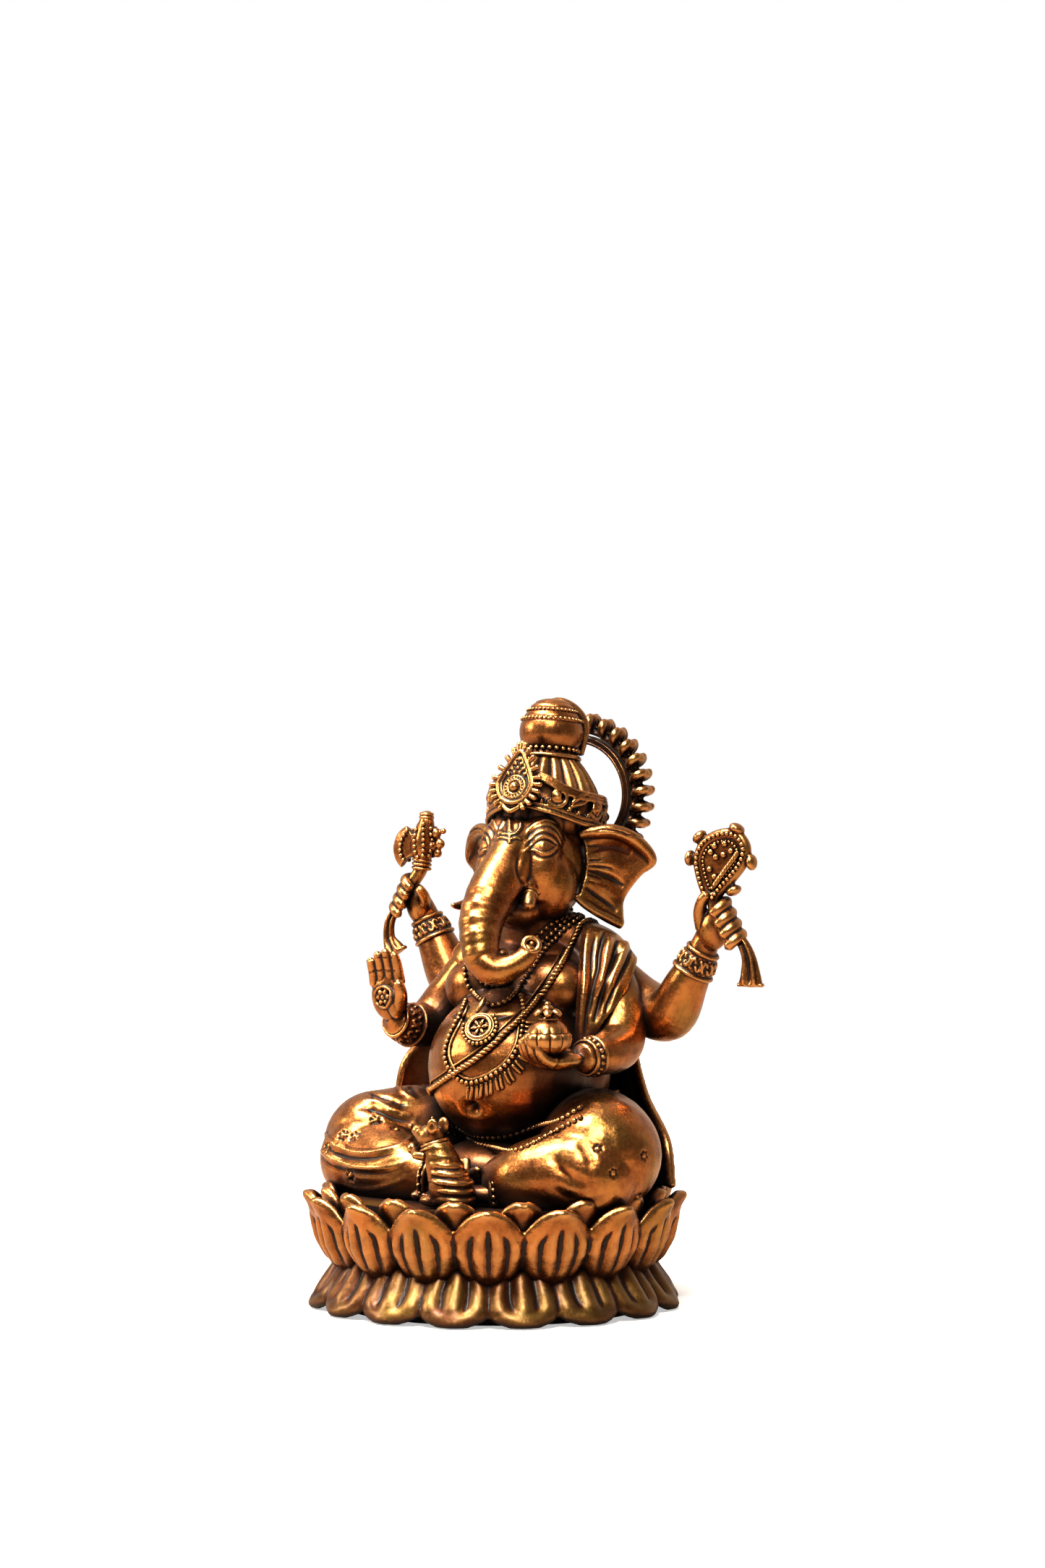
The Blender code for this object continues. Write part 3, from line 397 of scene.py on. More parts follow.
def slab(grid, thickness):
    """A closed sheet through a grid of points; thickness may vary with the place in the grid."""
    grid = np.array(grid, float)
    normal = np.cross(np.gradient(grid, axis=0), np.gradient(grid, axis=1))
    normal /= np.linalg.norm(normal, axis=2, keepdims=True) + 1e-9
    half = normal * (np.broadcast_to(thickness, grid.shape[:2])[..., None] / 2)
    wide, tall = grid.shape[:2]
    points = np.concatenate([(grid + half).reshape(-1, 3), (grid - half).reshape(-1, 3)])
    back = wide * tall
    faces = []
    for i in range(wide - 1):
        for j in range(tall - 1):
            a, b, c, d = i * tall + j, (i + 1) * tall + j, (i + 1) * tall + j + 1, i * tall + j + 1
            faces.append((a, b, c, d))
            faces.append((d + back, c + back, b + back, a + back))
    edge = ([i * tall for i in range(wide)] + [(wide - 1) * tall + j for j in range(1, tall)]
            + [i * tall + tall - 1 for i in range(wide - 2, -1, -1)] + list(range(tall - 2, 0, -1)))
    for here, there in zip(edge, edge[1:] + edge[:1]):
        faces.append((there, here, here + back, there + back))
    return points, faces


def smooth_grid(rows, steps):
    """A coarse grid of points as a fine one, curved both ways."""
    across = [route(row, steps) for row in rows]
    return np.array([route(column, steps) for column in zip(*across)])


# ---------------------------------------------------------------- clay: skins that brushes push about


class Clay:
    """A fused skin of points and faces, in millimetres, and the brushes that shape it."""

    def __init__(self, shape, voxel, soften):
        made = raw_object("clay", shape)
        select_only(made)
        fuse = made.modifiers.new("fuse", "REMESH")
        fuse.mode = "VOXEL"
        fuse.voxel_size = voxel
        bpy.ops.object.modifier_apply(modifier="fuse")
        relax = made.modifiers.new("relax", "SMOOTH")
        relax.factor = 0.5
        relax.iterations = soften
        bpy.ops.object.modifier_apply(modifier="relax")
        self.take(made)

    def take(self, made):
        mesh = made.data
        points = np.empty(len(mesh.vertices) * 3)
        mesh.vertices.foreach_get("co", points)
        corners = np.empty(len(mesh.loops), int)
        mesh.loops.foreach_get("vertex_index", corners)
        self.points = points.reshape(-1, 3)
        self.faces = corners.reshape(-1, 4)
        bpy.data.objects.remove(made, do_unlink=True)
        self.refresh()

    def refresh(self):
        """Works the normals out again after the skin has moved."""
        corner = self.points[self.faces]
        normal = np.cross(corner[:, 2] - corner[:, 0], corner[:, 3] - corner[:, 1])
        total = np.zeros_like(self.points)
        for k in range(4):
            for axis in range(3):
                total[:, axis] += np.bincount(self.faces[:, k], normal[:, axis], len(self.points))
        self.normals = total / (np.linalg.norm(total, axis=1, keepdims=True) + 1e-12)

    def near(self, line, reach):
        low, high = line.min(0) - reach, line.max(0) + reach
        return np.flatnonzero(((self.points > low) & (self.points < high)).all(1))

    def ridge(self, line, width, height, taper=0.0, power=2.0):
        """Raises a rounded ridge along a line, or sinks a crease if the height is negative."""
        line = np.array(line, float)[:, :3]
        found = self.near(line, 3 * width)
        away, along = distance_to(self.points[found], line)
        lift = height * np.exp(-((away / width) ** power))
        if taper:
            lift *= np.clip(np.minimum(along, 1 - along) / taper, 0, 1) ** 0.7
        self.points[found] += self.normals[found] * lift[:, None]

    def swell(self, centre, radius, height, way=None):
        """Raises a soft mound, or presses a dimple; with a way, everything there moves that way."""
        away = np.linalg.norm(self.points - np.array(centre), axis=1)
        lift = (height * np.exp(-((away / radius) ** 2)))[:, None]
        self.points += (self.normals if way is None else unit(way)) * lift

    def shape(self):
        return self.points, self.faces.tolist()

    def surface(self):
        return BVHTree.FromPolygons(self.points.tolist(), self.faces.tolist())


def distance_to(points, line):
    """Each point's distance from a polyline, and how far along it the nearest place is, from 0 to 1."""
    best = np.full(len(points), 1e9)
    where = np.zeros(len(points))
    lengths = np.linalg.norm(np.diff(line, axis=0), axis=1)
    total, run = lengths.sum(), 0.0
    for a, b, length in zip(line, line[1:], lengths):
        way = (b - a) / max(length, 1e-9)
        t = np.clip((points - a) @ way, 0, length)
        away = np.linalg.norm(points - a - t[:, None] * way, axis=1)
        closer = away < best
        best[closer] = away[closer]
        where[closer] = (run + t[closer]) / total
        run += length
    return best, where


def surface_of(shape):
    return BVHTree.FromPolygons(shape[0].tolist(), [tuple(f) for f in shape[1]])


def drawn(surface, outline, steps=5):
    """A line drawn on the surface from the three-quarter front, as points and their normals.

    The outline is in millimetres across that view and up from the table.
    """
    path = route(outline, steps) if len(outline) > 1 else np.array(outline, float)
    points, normals = [], []
    for across, up in path:
        start = RIGHTWARD * across + UP * up + TOWARD * 90
        at, normal, _, _ = surface.ray_cast(Vector(start), Vector(-TOWARD))
        if at is None:
            at, normal, _, _ = surface.find_nearest(Vector(RIGHTWARD * across + UP * up))
        points.append(tuple(at))
        normals.append(tuple(normal))
    return np.array(points), np.array(normals)


def resting(surface, points, lift):
    """The points moved to lift above the nearest place on the surface, and the normals there."""
    out, normals = [], []
    for point in points:
        at, normal, _, _ = surface.find_nearest(Vector(point))
        out.append(np.array(at) + np.array(normal) * lift)
        normals.append(np.array(normal))
    return np.array(out), np.array(normals)


def circle(radius, count, level=0.0):
    """Points evenly round a circle about Z, at this level."""
    turns = np.linspace(0, 2 * math.pi, count, endpoint=False)
    return np.array([(radius * math.cos(a), radius * math.sin(a), level) for a in turns])


def other_side(points):
    """Points taken over to the figure's other side."""
    return np.array(points) * [-1, 1, 1]


# ---------------------------------------------------------------- pieces of the object


def select_only(made):
    """Makes this the one selected object."""
    bpy.ops.object.select_all(action="DESELECT")
    made.select_set(True)
    bpy.context.view_layer.objects.active = made


def raw_object(name, shape):
    """A new object in the scene from points and faces, in the units they are given in."""
    mesh = bpy.data.meshes.new(name)
    mesh.from_pydata(shape[0].tolist(), [], shape[1])
    mesh.update()
    made = bpy.data.objects.new(name, mesh)
    bpy.context.scene.collection.objects.link(made)
    return made


def mark_hollows(mesh):
    """Stores on each point how hollow (above 0) or sharp (below 0) the skin is there, for the patina."""
    count = len(mesh.vertices)
    points = np.empty(count * 3)
    mesh.vertices.foreach_get("co", points)
    normals = np.empty(count * 3)
    mesh.vertex_normals.foreach_get("vector", normals)
    edges = np.empty(len(mesh.edges) * 2, int)
    mesh.edges.foreach_get("vertices", edges)
    points, normals, edges = points.reshape(-1, 3) / MM, normals.reshape(-1, 3), edges.reshape(-1, 2)
    span = points[edges[:, 1]] - points[edges[:, 0]]
    square = (span**2).sum(1) + 0.01
    first = 2 * (span * normals[edges[:, 0]]).sum(1) / square
    second = -2 * (span * normals[edges[:, 1]]).sum(1) / square
    degree = np.maximum(np.bincount(edges.ravel(), minlength=count), 1)
    bend = (np.bincount(edges[:, 0], first, count) + np.bincount(edges[:, 1], second, count)) / degree
    for _ in range(2):
        around = (np.bincount(edges[:, 0], bend[edges[:, 1]], count)
                  + np.bincount(edges[:, 1], bend[edges[:, 0]], count)) / degree
        bend = 0.5 * bend + 0.5 * around
    mesh.attributes.new("hollow", "FLOAT", "POINT").data.foreach_set("value", np.clip(bend, -1, 1))


def face_outwards(made):
    """Turns the faces of every closed shell in the mesh outwards."""
    select_only(made)
    bpy.ops.object.mode_set(mode="EDIT")
    bpy.ops.mesh.select_all(action="SELECT")
    bpy.ops.mesh.normals_make_consistent(inside=False)
    bpy.ops.object.mode_set(mode="OBJECT")


def finish_piece(node, shape, sharp=0, finish=BRASS):
    """Makes the shape a piece of the object in place of this CAD node.

    An edge sharper than sharp degrees is shaded as a crease; at 0 none is.
    """
    points, faces = shape
    made = raw_object(node.capitalize(), (points * MM, faces))
    face_outwards(made)
    made.data.shade_smooth()
    if sharp:
        made.data.set_sharp_from_angle(angle=math.radians(sharp))
    mark_hollows(made.data)
    made.data.materials.append(finish)
    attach(made, "root")
    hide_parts(node)


# ---------------------------------------------------------------- throne


def follow(table, at):
    """The value that a short table of (place, value) pairs gives at a place, read straight between them."""
    places, values = zip(*table)
    return np.interp(at, places, values)


def petal(middle, low, high, radius, half_width, relief, thickness, lip, columns=41, rows=36):
    """One petal with a rounded lip, its middle at this many degrees from -Y towards +X.

    radius and half_width are tables over the height h, from 0 at the base to 1 at the top. relief(a, h)
    stands out from the petal, where a runs from -1 at one edge to 1 at the other.
    """
    a, h = np.meshgrid(np.linspace(-1, 1, columns), 1 - np.linspace(1, 0, rows) ** 1.3, indexing="ij")
    half = follow(half_width, h)
    reach = follow(radius, h) + relief(a, h)
    angle = math.radians(middle) + a * half / follow(radius, h)
    grid = np.stack([reach * np.sin(angle), -reach * np.cos(angle), low + (high - low) * h], axis=2)
    start, end, thick = lip
    kept = [j for j in range(rows) if start <= h[0, j] <= end]
    across = [] if end < 1 else [grid[i, -1] for i in range(4, columns - 4, 6)]
    if start <= 0:
        edge = [grid[0, j] for j in kept[::-1]] + [grid[i, 0] for i in range(4, columns - 4, 6)]
        edge += [grid[-1, j] for j in kept]
    else:
        edge = [grid[0, j] for j in kept] + across + [grid[-1, j] for j in kept[::-1]]
    places, _ = evenly(edge, 0.5)
    radii = thick * np.clip(np.minimum(np.arange(len(places)), np.arange(len(places))[::-1]) / 6 + 0.4, 0,
                            1)
    return merged(slab(grid, thickness), tube([(*p, r) for p, r in zip(places, radii)], 12, 1,
                                              smooth=False))


def smooth_step(value, start, end):
    """0 before start and 1 after end, with an S curve between."""
    t = np.clip((value - start) / (end - start), 0, 1)
    return t * t * (3 - 2 * t)


def make_throne():
    """Three rings of lotus petals: the tall front ones, those that show between, and those on the floor."""
    pitch = 360 / PETALS
    upper_width = [(0, 3.0), (0.1, 4.2), (0.25, 5.3), (0.42, 5.9), (0.56, 5.9), (0.68, 5.4), (0.8, 4.4),
                   (0.9, 3.2), (0.96, 2.1), (1, 0.9)]

    def upper_relief(a, h):
        """Four finger ribs between dark grooves, and an arched lip that turns outwards."""
        reach = np.interp(np.abs(a), [0, 0.5, 1], [0.86, 0.76, 0.6])
        ribs = np.abs(np.sin(2 * np.pi * a)) ** np.interp(h, [0.05, 0.75], [0.7, 1.5])
        mask = smooth_step(h, 0.0, 0.2) * (1 - smooth_step(h, reach - 0.16, reach))
        return (1.9 + 0.5 * h) * (ribs - 0.85) * mask - (2.6 - 1.5 * h) * a**2

    def lower_relief(a, h):
        """Three ribs that run together towards the tip on the floor, and a thick turned-out edge."""
        ribs = np.abs(np.sin(1.5 * np.pi * (a + 1))) ** 0.8
        mask = smooth_step(h, 0.12, 0.36) * (1 - smooth_step(h, 0.92, 1.05))
        return 2.2 * (ribs - 0.8) * mask - (0.8 + 0.9 * h) * a**2

    lower_width = [(0, 2.2), (0.05, 3.6), (0.12, 4.9), (0.25, 6.0), (0.5, 6.2), (0.8, 5.4), (1, 4.4)]
    upper, lower, inner = [], [], []
    for k in range(PETALS):
        middle = PETAL_TURN + k * pitch
        radius = [(0, 25.4), (0.15, 27.3), (0.4, 28.9), (0.7, 29.7), (0.88, 30.3), (1, 31.2)]
        upper.append(petal(middle, 6.6, 18.2, radius, upper_width, upper_relief, 1.3, (0.4, 1, 0.62)))
        between = middle + pitch / 2
        radius = [(0, 30.2), (0.12, 29.7), (0.35, 28.4), (0.6, 27.0), (0.85, 25.8), (1, 25.0)]
        lower.append(petal(between, 0.75, 8.4, radius, lower_width, lower_relief, 1.4, (0, 0.6, 0.6)))
        width = [(0, 2.2), (0.4, 3.4), (0.72, 3.4), (0.88, 2.6), (0.96, 1.7), (1, 0.8)]
        radius = [(0, 26.0), (0.6, 27.0), (0.9, 27.9), (1, 28.2)]
        inner.append(petal(between, 12.4, 19.2, radius, width,
                           lambda a, h: -0.9 * a**2, 1.5, (0.5, 1, 0.6), 15, 16))
    # The lower petals take the shaded brass: painted shade under the upper ring, with some heavier patina.
    for name, petals, finish in (("upper_petals", upper, BRASS), ("lower_petals", lower, SHADED_BRASS),
                                 ("inner_petals", inner, BRASS)):
        cast = Clay(merged(*petals), 0.33, 3)
        finish_piece(name, cast.shape(), 0, finish)


# ---------------------------------------------------------------- body


def make_torso():
    """Belly, chest, shoulders and neck in one casting. It returns its skin and its shape."""
    lumps = [
        ball(BELLY, (13.9, 13.8, 13.2)),
        ball((0, 11, 37), (14.6, 11.5, 9.5)),
        ball((0, 13.5, 51), (14.2, 9.5, 9.6)),
        tube([(0, 15, 57, 7.2), (0, 14.6, 63.5, 6.6)], sides=24),
    ]
    for side in (1, -1):
        lumps.append(ball((side * 6.4, 7.4, 51.6), (7.0, 5.2, 5.4)))
        lumps.append(ball((side * 11.6, 15.5, 54.9), (5.4, 5.6, 5.6)))
        lumps.append(tube([(side * 3, 15, 60, 4.5), (side * 11, 15.5, 57, 4.6)], sides=20))
    body = Clay(merged(*lumps), 0.34, 14)
    skin = body.surface()
    navel, _ = drawn(skin, [(-3.6, 32.8)])
    body.swell(navel[0], 2.6, 0.5)
    body.refresh()
    body.swell(navel[0], 1.3, -2.6)
    fold, _ = drawn(skin, [(-9.2, 51.2), (-8.2, 49.3), (-6.8, 47.7), (-4.2, 46.9)])
    for line in (fold, other_side(fold)):
        body.ridge(line, 0.5, -0.7, 0.3)
    body.refresh()
    finish_piece("torso", body.shape())
    return body.surface(), body.shape()


def make_hips():
    hips = Clay(merged(ball((0, 13.5, 24), (15, 11.5, 8.5)), ball((0, 2, 22), (11, 10, 5.6))), 0.5, 5)
    finish_piece("hips", hips.shape())
    return hips.shape()


def make_right_leg():
    """The folded right leg in its baggy trouser, with the hems of the cloth across the knee."""
    right = Clay(merged(
        tube([(-7, 14, 25, 8.4), (-16.5, 7.0, 25.8, 9.2), (-22.8, -0.3, 25.4, 8.8)], sides=28),
        ball((-22.8, -0.3, 25.4), (8.8, 8.8, 8.8)),
        tube([(-22.6, -3.0, 23, 7.8), (-14, -7.6, 22, 6.2), (-5.5, -9.4, 20.8, 4.3)], sides=28),
        ball((-22.6, -3.0, 23), (8.2, 8.2, 8.0)),
    ), 0.3, 12)
    skin = right.surface()
    hems = [([(-30.2, 29.0), (-28.4, 27.0), (-26.2, 25.8), (-23.1, 25.0), (-19.0, 25.5), (-14.9, 26.7),
              (-12.6, 28.4)], 0.4, 0.55),
            ([(-30.0, 26.8), (-27.8, 25.2), (-25.5, 24.2), (-22.2, 24.0), (-18.5, 24.6), (-15.2, 25.7)],
             0.5, -0.75),
            ([(-29.8, 25.2), (-27.5, 23.8), (-25.5, 23.1), (-22.9, 22.6), (-19.0, 22.9), (-15.6, 23.6),
              (-13.0, 25.0)], 0.45, 0.6),
            ([(-29.0, 23.8), (-27.0, 22.4), (-22.9, 21.7), (-18.6, 21.9), (-15.0, 22.9)], 0.4, -0.4),
            ([(-26.8, 20.2), (-24.6, 19.2), (-22.2, 19.0), (-19.0, 19.5), (-15.6, 20.9), (-13.5, 22.1)],
             0.5, 0.6)]
    folds = [([(-13.5, 29.4), (-16.6, 30.1), (-20.0, 31.5), (-23.1, 31.8)], 0.6, -0.9),
             ([(-13.6, 30.6), (-16.6, 31.3), (-19.6, 32.7), (-22.6, 33.0)], 0.6, 0.7),
             ([(-13.7, 32.0), (-15.6, 32.3), (-18.1, 33.2), (-20.9, 34.1)], 0.6, -0.9),
             ([(-13.0, 32.8), (-14.8, 33.8), (-16.8, 34.8)], 0.55, 0.8),
             ([(-12.5, 33.0), (-13.5, 34.2), (-15.2, 35.6)], 0.5, -0.8)]
    draw_folds(right, skin, hems + folds, 0.3, 0.9, 0.5)
    for centre in ((-23.1, 27.4), (-16.1, 28.6), (-27.9, 25.3), (-27.7, 30.3), (-19.6, 29.9),
                   (-23.8, 21.0)):
        stamp_flower(right, skin, centre, 0.8)
    right.refresh()
    finish_piece("right_leg", right.shape())
    return right.shape()


def make_left_leg():
    """The folded left leg, its cloth stretched smooth over the knee."""
    left = Clay(merged(
        tube([(7, 13, 25, 8.6), (15.5, 5.5, 26, 9.8), (21.4, -2.5, 25.8, 9.8)], sides=28),
        ball((21.4, -2.5, 25.8), (9.8, 9.8, 9.6)),
        tube([(20.8, -6.5, 23, 8.4), (13, -10.4, 22, 6.6), (6.5, -10.6, 20.6, 4.4)], sides=28),
        ball((20.8, -6.5, 23), (8.8, 8.6, 8.2)),
    ), 0.3, 12)
    skin = left.surface()
    folds = [([(9.0, 27.0), (10.6, 24.8), (12.4, 23.2), (14.0, 22.6), (15.8, 23.6)], 1.0, -0.4),
             ([(13.6, 29.0), (14.9, 27.0), (15.2, 25.2), (14.6, 23.8)], 0.8, -0.3),
             ([(8.6, 22.4), (11.6, 20.2), (15.0, 19.4), (18.6, 20.4)], 0.7, -0.3)]
    draw_folds(left, skin, folds, 0.35)
    for centre in ((19.0, 24.0), (16.6, 27.8), (12.6, 19.6), (24.0, 26.4), (23.0, 19.4)):
        stamp_flower(left, skin, centre, 0.6)
    left.refresh()
    finish_piece("left_leg", left.shape())
    return left.shape()


def draw_folds(clay, skin, folds, taper, wide=1.0, high=1.0):
    """Raises or sinks each fold of (outline, width, height) along its line on the skin."""
    for outline, width, height in folds:
        line, _ = drawn(skin, outline)
        clay.ridge(line, wide * width, high * height, taper)


def stamp_flower(clay, skin, centre, size):
    """Chases a small flower into the skin: a ring of pricks round a raised heart."""
    (middle,), (normal,) = drawn(skin, [centre])
    side = unit(np.cross(normal, (0.2, 0.3, 0.9)))
    up = np.cross(normal, side)
    for k in range(6):
        a = 2 * math.pi * k / 6
        clay.swell(middle + size * (side * math.cos(a) + up * math.sin(a)), 0.34 * size, -0.65 * size)
    clay.swell(middle, 0.42 * size, 0.4 * size)


# ---------------------------------------------------------------- head


TRUNK = [(0, 9.5, 76.5, 4.6), (0, 5.2, 72.2, 4.5), (-0.6, 0.8, 68, 4.2), (-0.8, -2.6, 63.6, 3.8),
         (0.1, -4.9, 59.6, 3.25), (1.2, -5.6, 56.6, 2.95), (3.6, -5.6, 55.2, 2.55),
         (6.2, -4.6, 55.9, 2.1), (8.0, -3.6, 57.4, 1.75), (8.4, -2.8, 58.8, 1.6)]


def make_head():
    """Skull with its two brow domes, cheeks, jaw, and the trunk that hangs and curls to the left."""
    head = np.array(HEAD)
    lumps = [ball(head, (8.7, 8.6, 9.2)), ball(head + (0, 2.4, 4), (8.2, 7.6, 6.6)),
             ball((0, 7.6, 64.5), (4.4, 4.4, 3.2)), tube(TRUNK, sides=32, steps=8)]
    for side in (1, -1):
        lumps.append(ball(head + (side * 3.3, -4.6, 4.8), (3.9, 3.8, 3.9)))
        lumps.append(ball(head + (side * 4.5, -3.4, -2.4), (4.5, 5.0, 6.2)))
        lumps.append(tube([(side * 3.4, 9.0, 76.0, 3.6), (side * 3.8, 8.0, 71.0, 3.9),
                           (side * 3.2, 8.0, 66.6, 3.2)], 20))
        lumps.append(tube([(side * 3.4, 5.0, 69.4, 1.3), (side * 4.2, 4.2, 68.4, 1.2)]))
    skull = Clay(merged(*lumps), 0.19, 26)
    carve_face(skull)
    axis = route(TRUNK, 8)
    crease_trunk(skull, axis)
    skull.refresh()
    end = axis[-1][:3]
    way = unit(end - axis[-3][:3])
    facing = unit(way * 0.35 + TOWARD * 0.9 + UP * 0.1)
    snout = ring_at(end + facing + UP * 0.1, facing, 1.25, 0.5)
    pearl = ball((3.2, -3.0, 57.6), (1.1, 1.1, 1.1))
    nub = ball(end + 0.6 * way, (1.0, 1.0, 1.0))
    finish_piece("head", merged(skull.shape(), snout, pearl, nub))


def carve_face(skull):
    """Brows, lids, pupils, the fold down each cheek and the three-line mark on the forehead."""
    skin = skull.surface()

    def both(outline, width, height, taper=0.15):
        line, _ = drawn(skin, outline)
        skull.ridge(line, width, height, taper)
        skull.ridge(other_side(line), width, height, taper)

    both([(5.2, 76.9), (5.6, 77.9), (7.1, 79.1), (8.8, 79.4), (10.6, 78.6), (12.0, 76.2)], 0.26, 0.22)
    both([(5.4, 76.2), (5.9, 77.2), (7.2, 78.2), (8.8, 78.5), (10.3, 77.6), (11.5, 75.4)], 0.24, -0.16)
    both([(5.0, 75.6), (5.8, 76.4), (7.2, 77.5), (8.6, 77.8), (10.2, 77.1), (11.2, 75.2)], 0.24, 0.18)
    both([(4.9, 74.4), (6.2, 75.5), (7.1, 76.5), (8.2, 76.9), (9.3, 76.5), (10.6, 75.3)], 0.2, 0.26)
    both([(5.6, 74.9), (6.6, 75.7), (7.4, 76.1), (8.3, 76.3), (9.3, 76.0), (10.2, 75.4)], 0.18, -0.2)
    both([(5.4, 74.6), (6.6, 74.6), (7.8, 74.1), (9.1, 74.2), (10.6, 75.2)], 0.2, 0.2)
    both([(6.2, 74.0), (7.8, 73.4), (9.4, 73.6), (10.8, 74.6)], 0.3, -0.15)
    (pupil,), _ = drawn(skin, [(8.25, 75.35)])
    for centre in (pupil, other_side([pupil])[0]):
        skull.swell(centre, 0.8, 0.25)
        skull.swell(centre, 0.26, -0.28)
    eye_groove = [(4.6, 76.6), (4.0, 74.0), (3.9, 71.8), (4.5, 70.2)]
    both(eye_groove, 0.9, -0.3, 0.35)
    mark = [([(0.7, 77.0), (0.9, 77.9), (1.3, 78.6), (1.8, 79.5)], 0.3),
            ([(2.5, 79.8), (2.5, 78.6), (2.5, 77.4)], 0.46),
            ([(4.3, 79.4), (4.2, 78.2), (3.5, 77.3), (2.5, 77.1), (1.5, 77.2), (0.8, 77.6)], 0.3),
            ([(2.5, 77.4), (2.5, 76.4), (2.5, 75.6)], 0.26),
            ([(0.2, 76.3), (1.3, 76.6), (2.5, 76.3), (3.7, 76.6), (4.5, 76.3)], 0.26)]
    for outline, width in mark:
        line, _ = drawn(skin, outline)
        skull.ridge(line, 0.85 * width, 0.36, 0.1)
    both([(4.0, 73.6), (3.8, 71.8), (4.1, 70.2), (4.9, 68.9)], 0.45, -0.2)
    both([(5.4, 68.6), (6.4, 68.2), (7.2, 67.2)], 0.5, 0.25)


def crease_trunk(skull, axis):
    """Shallow creases across the front of the trunk, a bulge after each."""
    for start, height in ((0.25, 0.08), (0.31, 0.12), (0.37, 0.14), (0.43, 0.12), (0.5, 0.08)):
        for offset, way in ((0, 1), (0.03, -1)):
            at = axis[int((start + offset) * (len(axis) - 1))]
            ahead = axis[int((start + offset) * (len(axis) - 1)) + 1] - at
            way_on = unit(ahead[:3])
            front = unit(np.cross(way_on, (1, 0, 0)))
            side = np.cross(front, way_on)
            bow = [at[:3] + at[3] * (front * math.cos(t) + side * math.sin(t)) + way_on * 0.7 * math.cos(t)
                   for t in np.linspace(-1.5, 1.5, 13)]
            skull.ridge(bow, 0.5, height * way, 0.4)


def ring_at(centre, way, radius, thick, columns=28):
    """A plain torus round this axis."""
    side = unit(np.cross(way, (0.3, 0.2, 0.9)))
    loop = [(radius + x, y) for x, y, _ in circle(thick, 12)]
    return hoop(lambda angle: loop, columns, placed(side, np.cross(way, side), unit(way), centre))


def ear_rows():
    """The left ear as rows of points from its root on the head to its rim, top row first."""
    return [
        [(8.0, 15.4, 76.6), (10.6, 16.2, 76.8), (13.4, 18.2, 76.8), (16.0, 20.6, 75.0)],
        [(8.7, 15.0, 74.0), (11.2, 17.4, 74.2), (14.4, 20.3, 74.0), (17.4, 21.9, 72.6)],
        [(8.9, 14.6, 71.2), (11.0, 17.0, 70.8), (13.4, 19.2, 70.2), (15.0, 20.4, 69.5)],
        [(8.7, 13.8, 68.8), (10.4, 16.2, 67.8), (12.1, 18.0, 66.8), (13.5, 19.1, 66.3)],
        [(8.3, 13.2, 66.4), (10.2, 15.0, 64.6), (12.0, 16.7, 63.0), (13.9, 18.4, 62.0)],
    ]


def make_ears():
    """Large fans with a thick rolled rim above, a bright one below and one deep valley across."""
    grid = smooth_grid(np.array(ear_rows(), float), 6)
    top = [(8.0, 14.4, 77.0, 0.8), (9.0, 14.8, 77.4, 0.95), (10.7, 15.6, 77.6, 1.05),
           (12.8, 17.0, 77.7, 1.15), (15.0, 19.0, 76.7, 1.2), (16.8, 20.9, 74.7, 1.1),
           (17.7, 21.9, 72.7, 0.85), (16.6, 21.4, 71.2, 0.55)]
    rim = [(17.2, 21.8, 72.2, 0.6), (15.1, 20.4, 69.5, 0.5), (13.5, 19.1, 66.3, 0.45),
           (13.6, 18.6, 63.6, 0.45), (13.9, 18.3, 62.2, 0.5)]
    low = [(8.0, 12.8, 66.9, 0.6), (9.2, 13.8, 65.6, 0.75), (10.6, 14.8, 64.4, 0.75),
           (12.4, 16.6, 63.0, 0.8), (13.9, 18.2, 61.9, 0.75)]
    for name, side in (("left_ear", 1), ("right_ear", -1)):
        parts = [slab(grid, 1.4), tube(top, 16), tube(rim, 12), tube(low, 14)]
        flap = Clay(merged(*parts), 0.22, 5)
        skin = flap.surface()
        folds = [([(15.4, 73.8), (17.8, 74.6), (20.2, 74.7), (22.6, 73.6)], 0.9, -0.4),
                 ([(15.4, 72.4), (18.0, 72.6), (21.0, 71.8), (23.4, 70.8)], 1.0, 0.2),
                 ([(15.2, 71.2), (17.2, 70.6), (19.4, 69.7), (21.6, 68.4)], 0.5, -0.6),
                 ([(15.0, 69.8), (17.0, 69.0), (19.0, 67.7), (20.8, 66.4)], 0.8, 0.25),
                 ([(14.8, 68.4), (16.6, 67.2), (18.6, 65.8), (20.4, 64.2)], 0.5, -0.4),
                 ([(15.4, 78.6), (18.8, 79.2), (22.4, 78.4), (24.9, 76.2)], 0.2, -0.3)]
        for up, reach, drop in ((75.2, 3.6, 0.4), (72.8, 3.0, 0.0), (71.9, 4.4, 0.5), (70.4, 2.8, 0.7),
                                (69.4, 3.8, 1.3)):
            folds.append(([(15.3, up), (15.3 + 0.5 * reach, up - 0.4 * drop), (15.3 + reach, up - drop)],
                          0.24, -0.3))
        draw_folds(flap, skin, folds, 0.3)
        flap.refresh()
        shape = flap.shape() if side == 1 else mirrored(flap.shape())
        finish_piece(name, shape)


def make_tusks():
    """The whole right tusk, and the broken left one with a ring round its stub."""
    whole = tube([(-3.6, 4.8, 67.4, 1.25), (-5.4, 1.8, 65.9, 1.05), (-6.4, -0.6, 65.4, 0.7),
                  (-6.8, -2.2, 65.5, 0.35)], 20)
    finish_piece("right_tusk", whole, 60)
    way = unit((1.3, -3.2, -2.2))
    stub = tube([(4.1, 5.0, 67.9, 1.1), (4.5, 3.6, 66.5, 1.2), (4.7, 2.8, 65.3, 1.1)], 20, blunt=0.8)
    collar = ring_at((4.35, 4.1, 67.0), way, 1.12, 0.22)
    finish_piece("left_tusk", merged(stub, collar), 60)


# ---------------------------------------------------------------- crown and halo


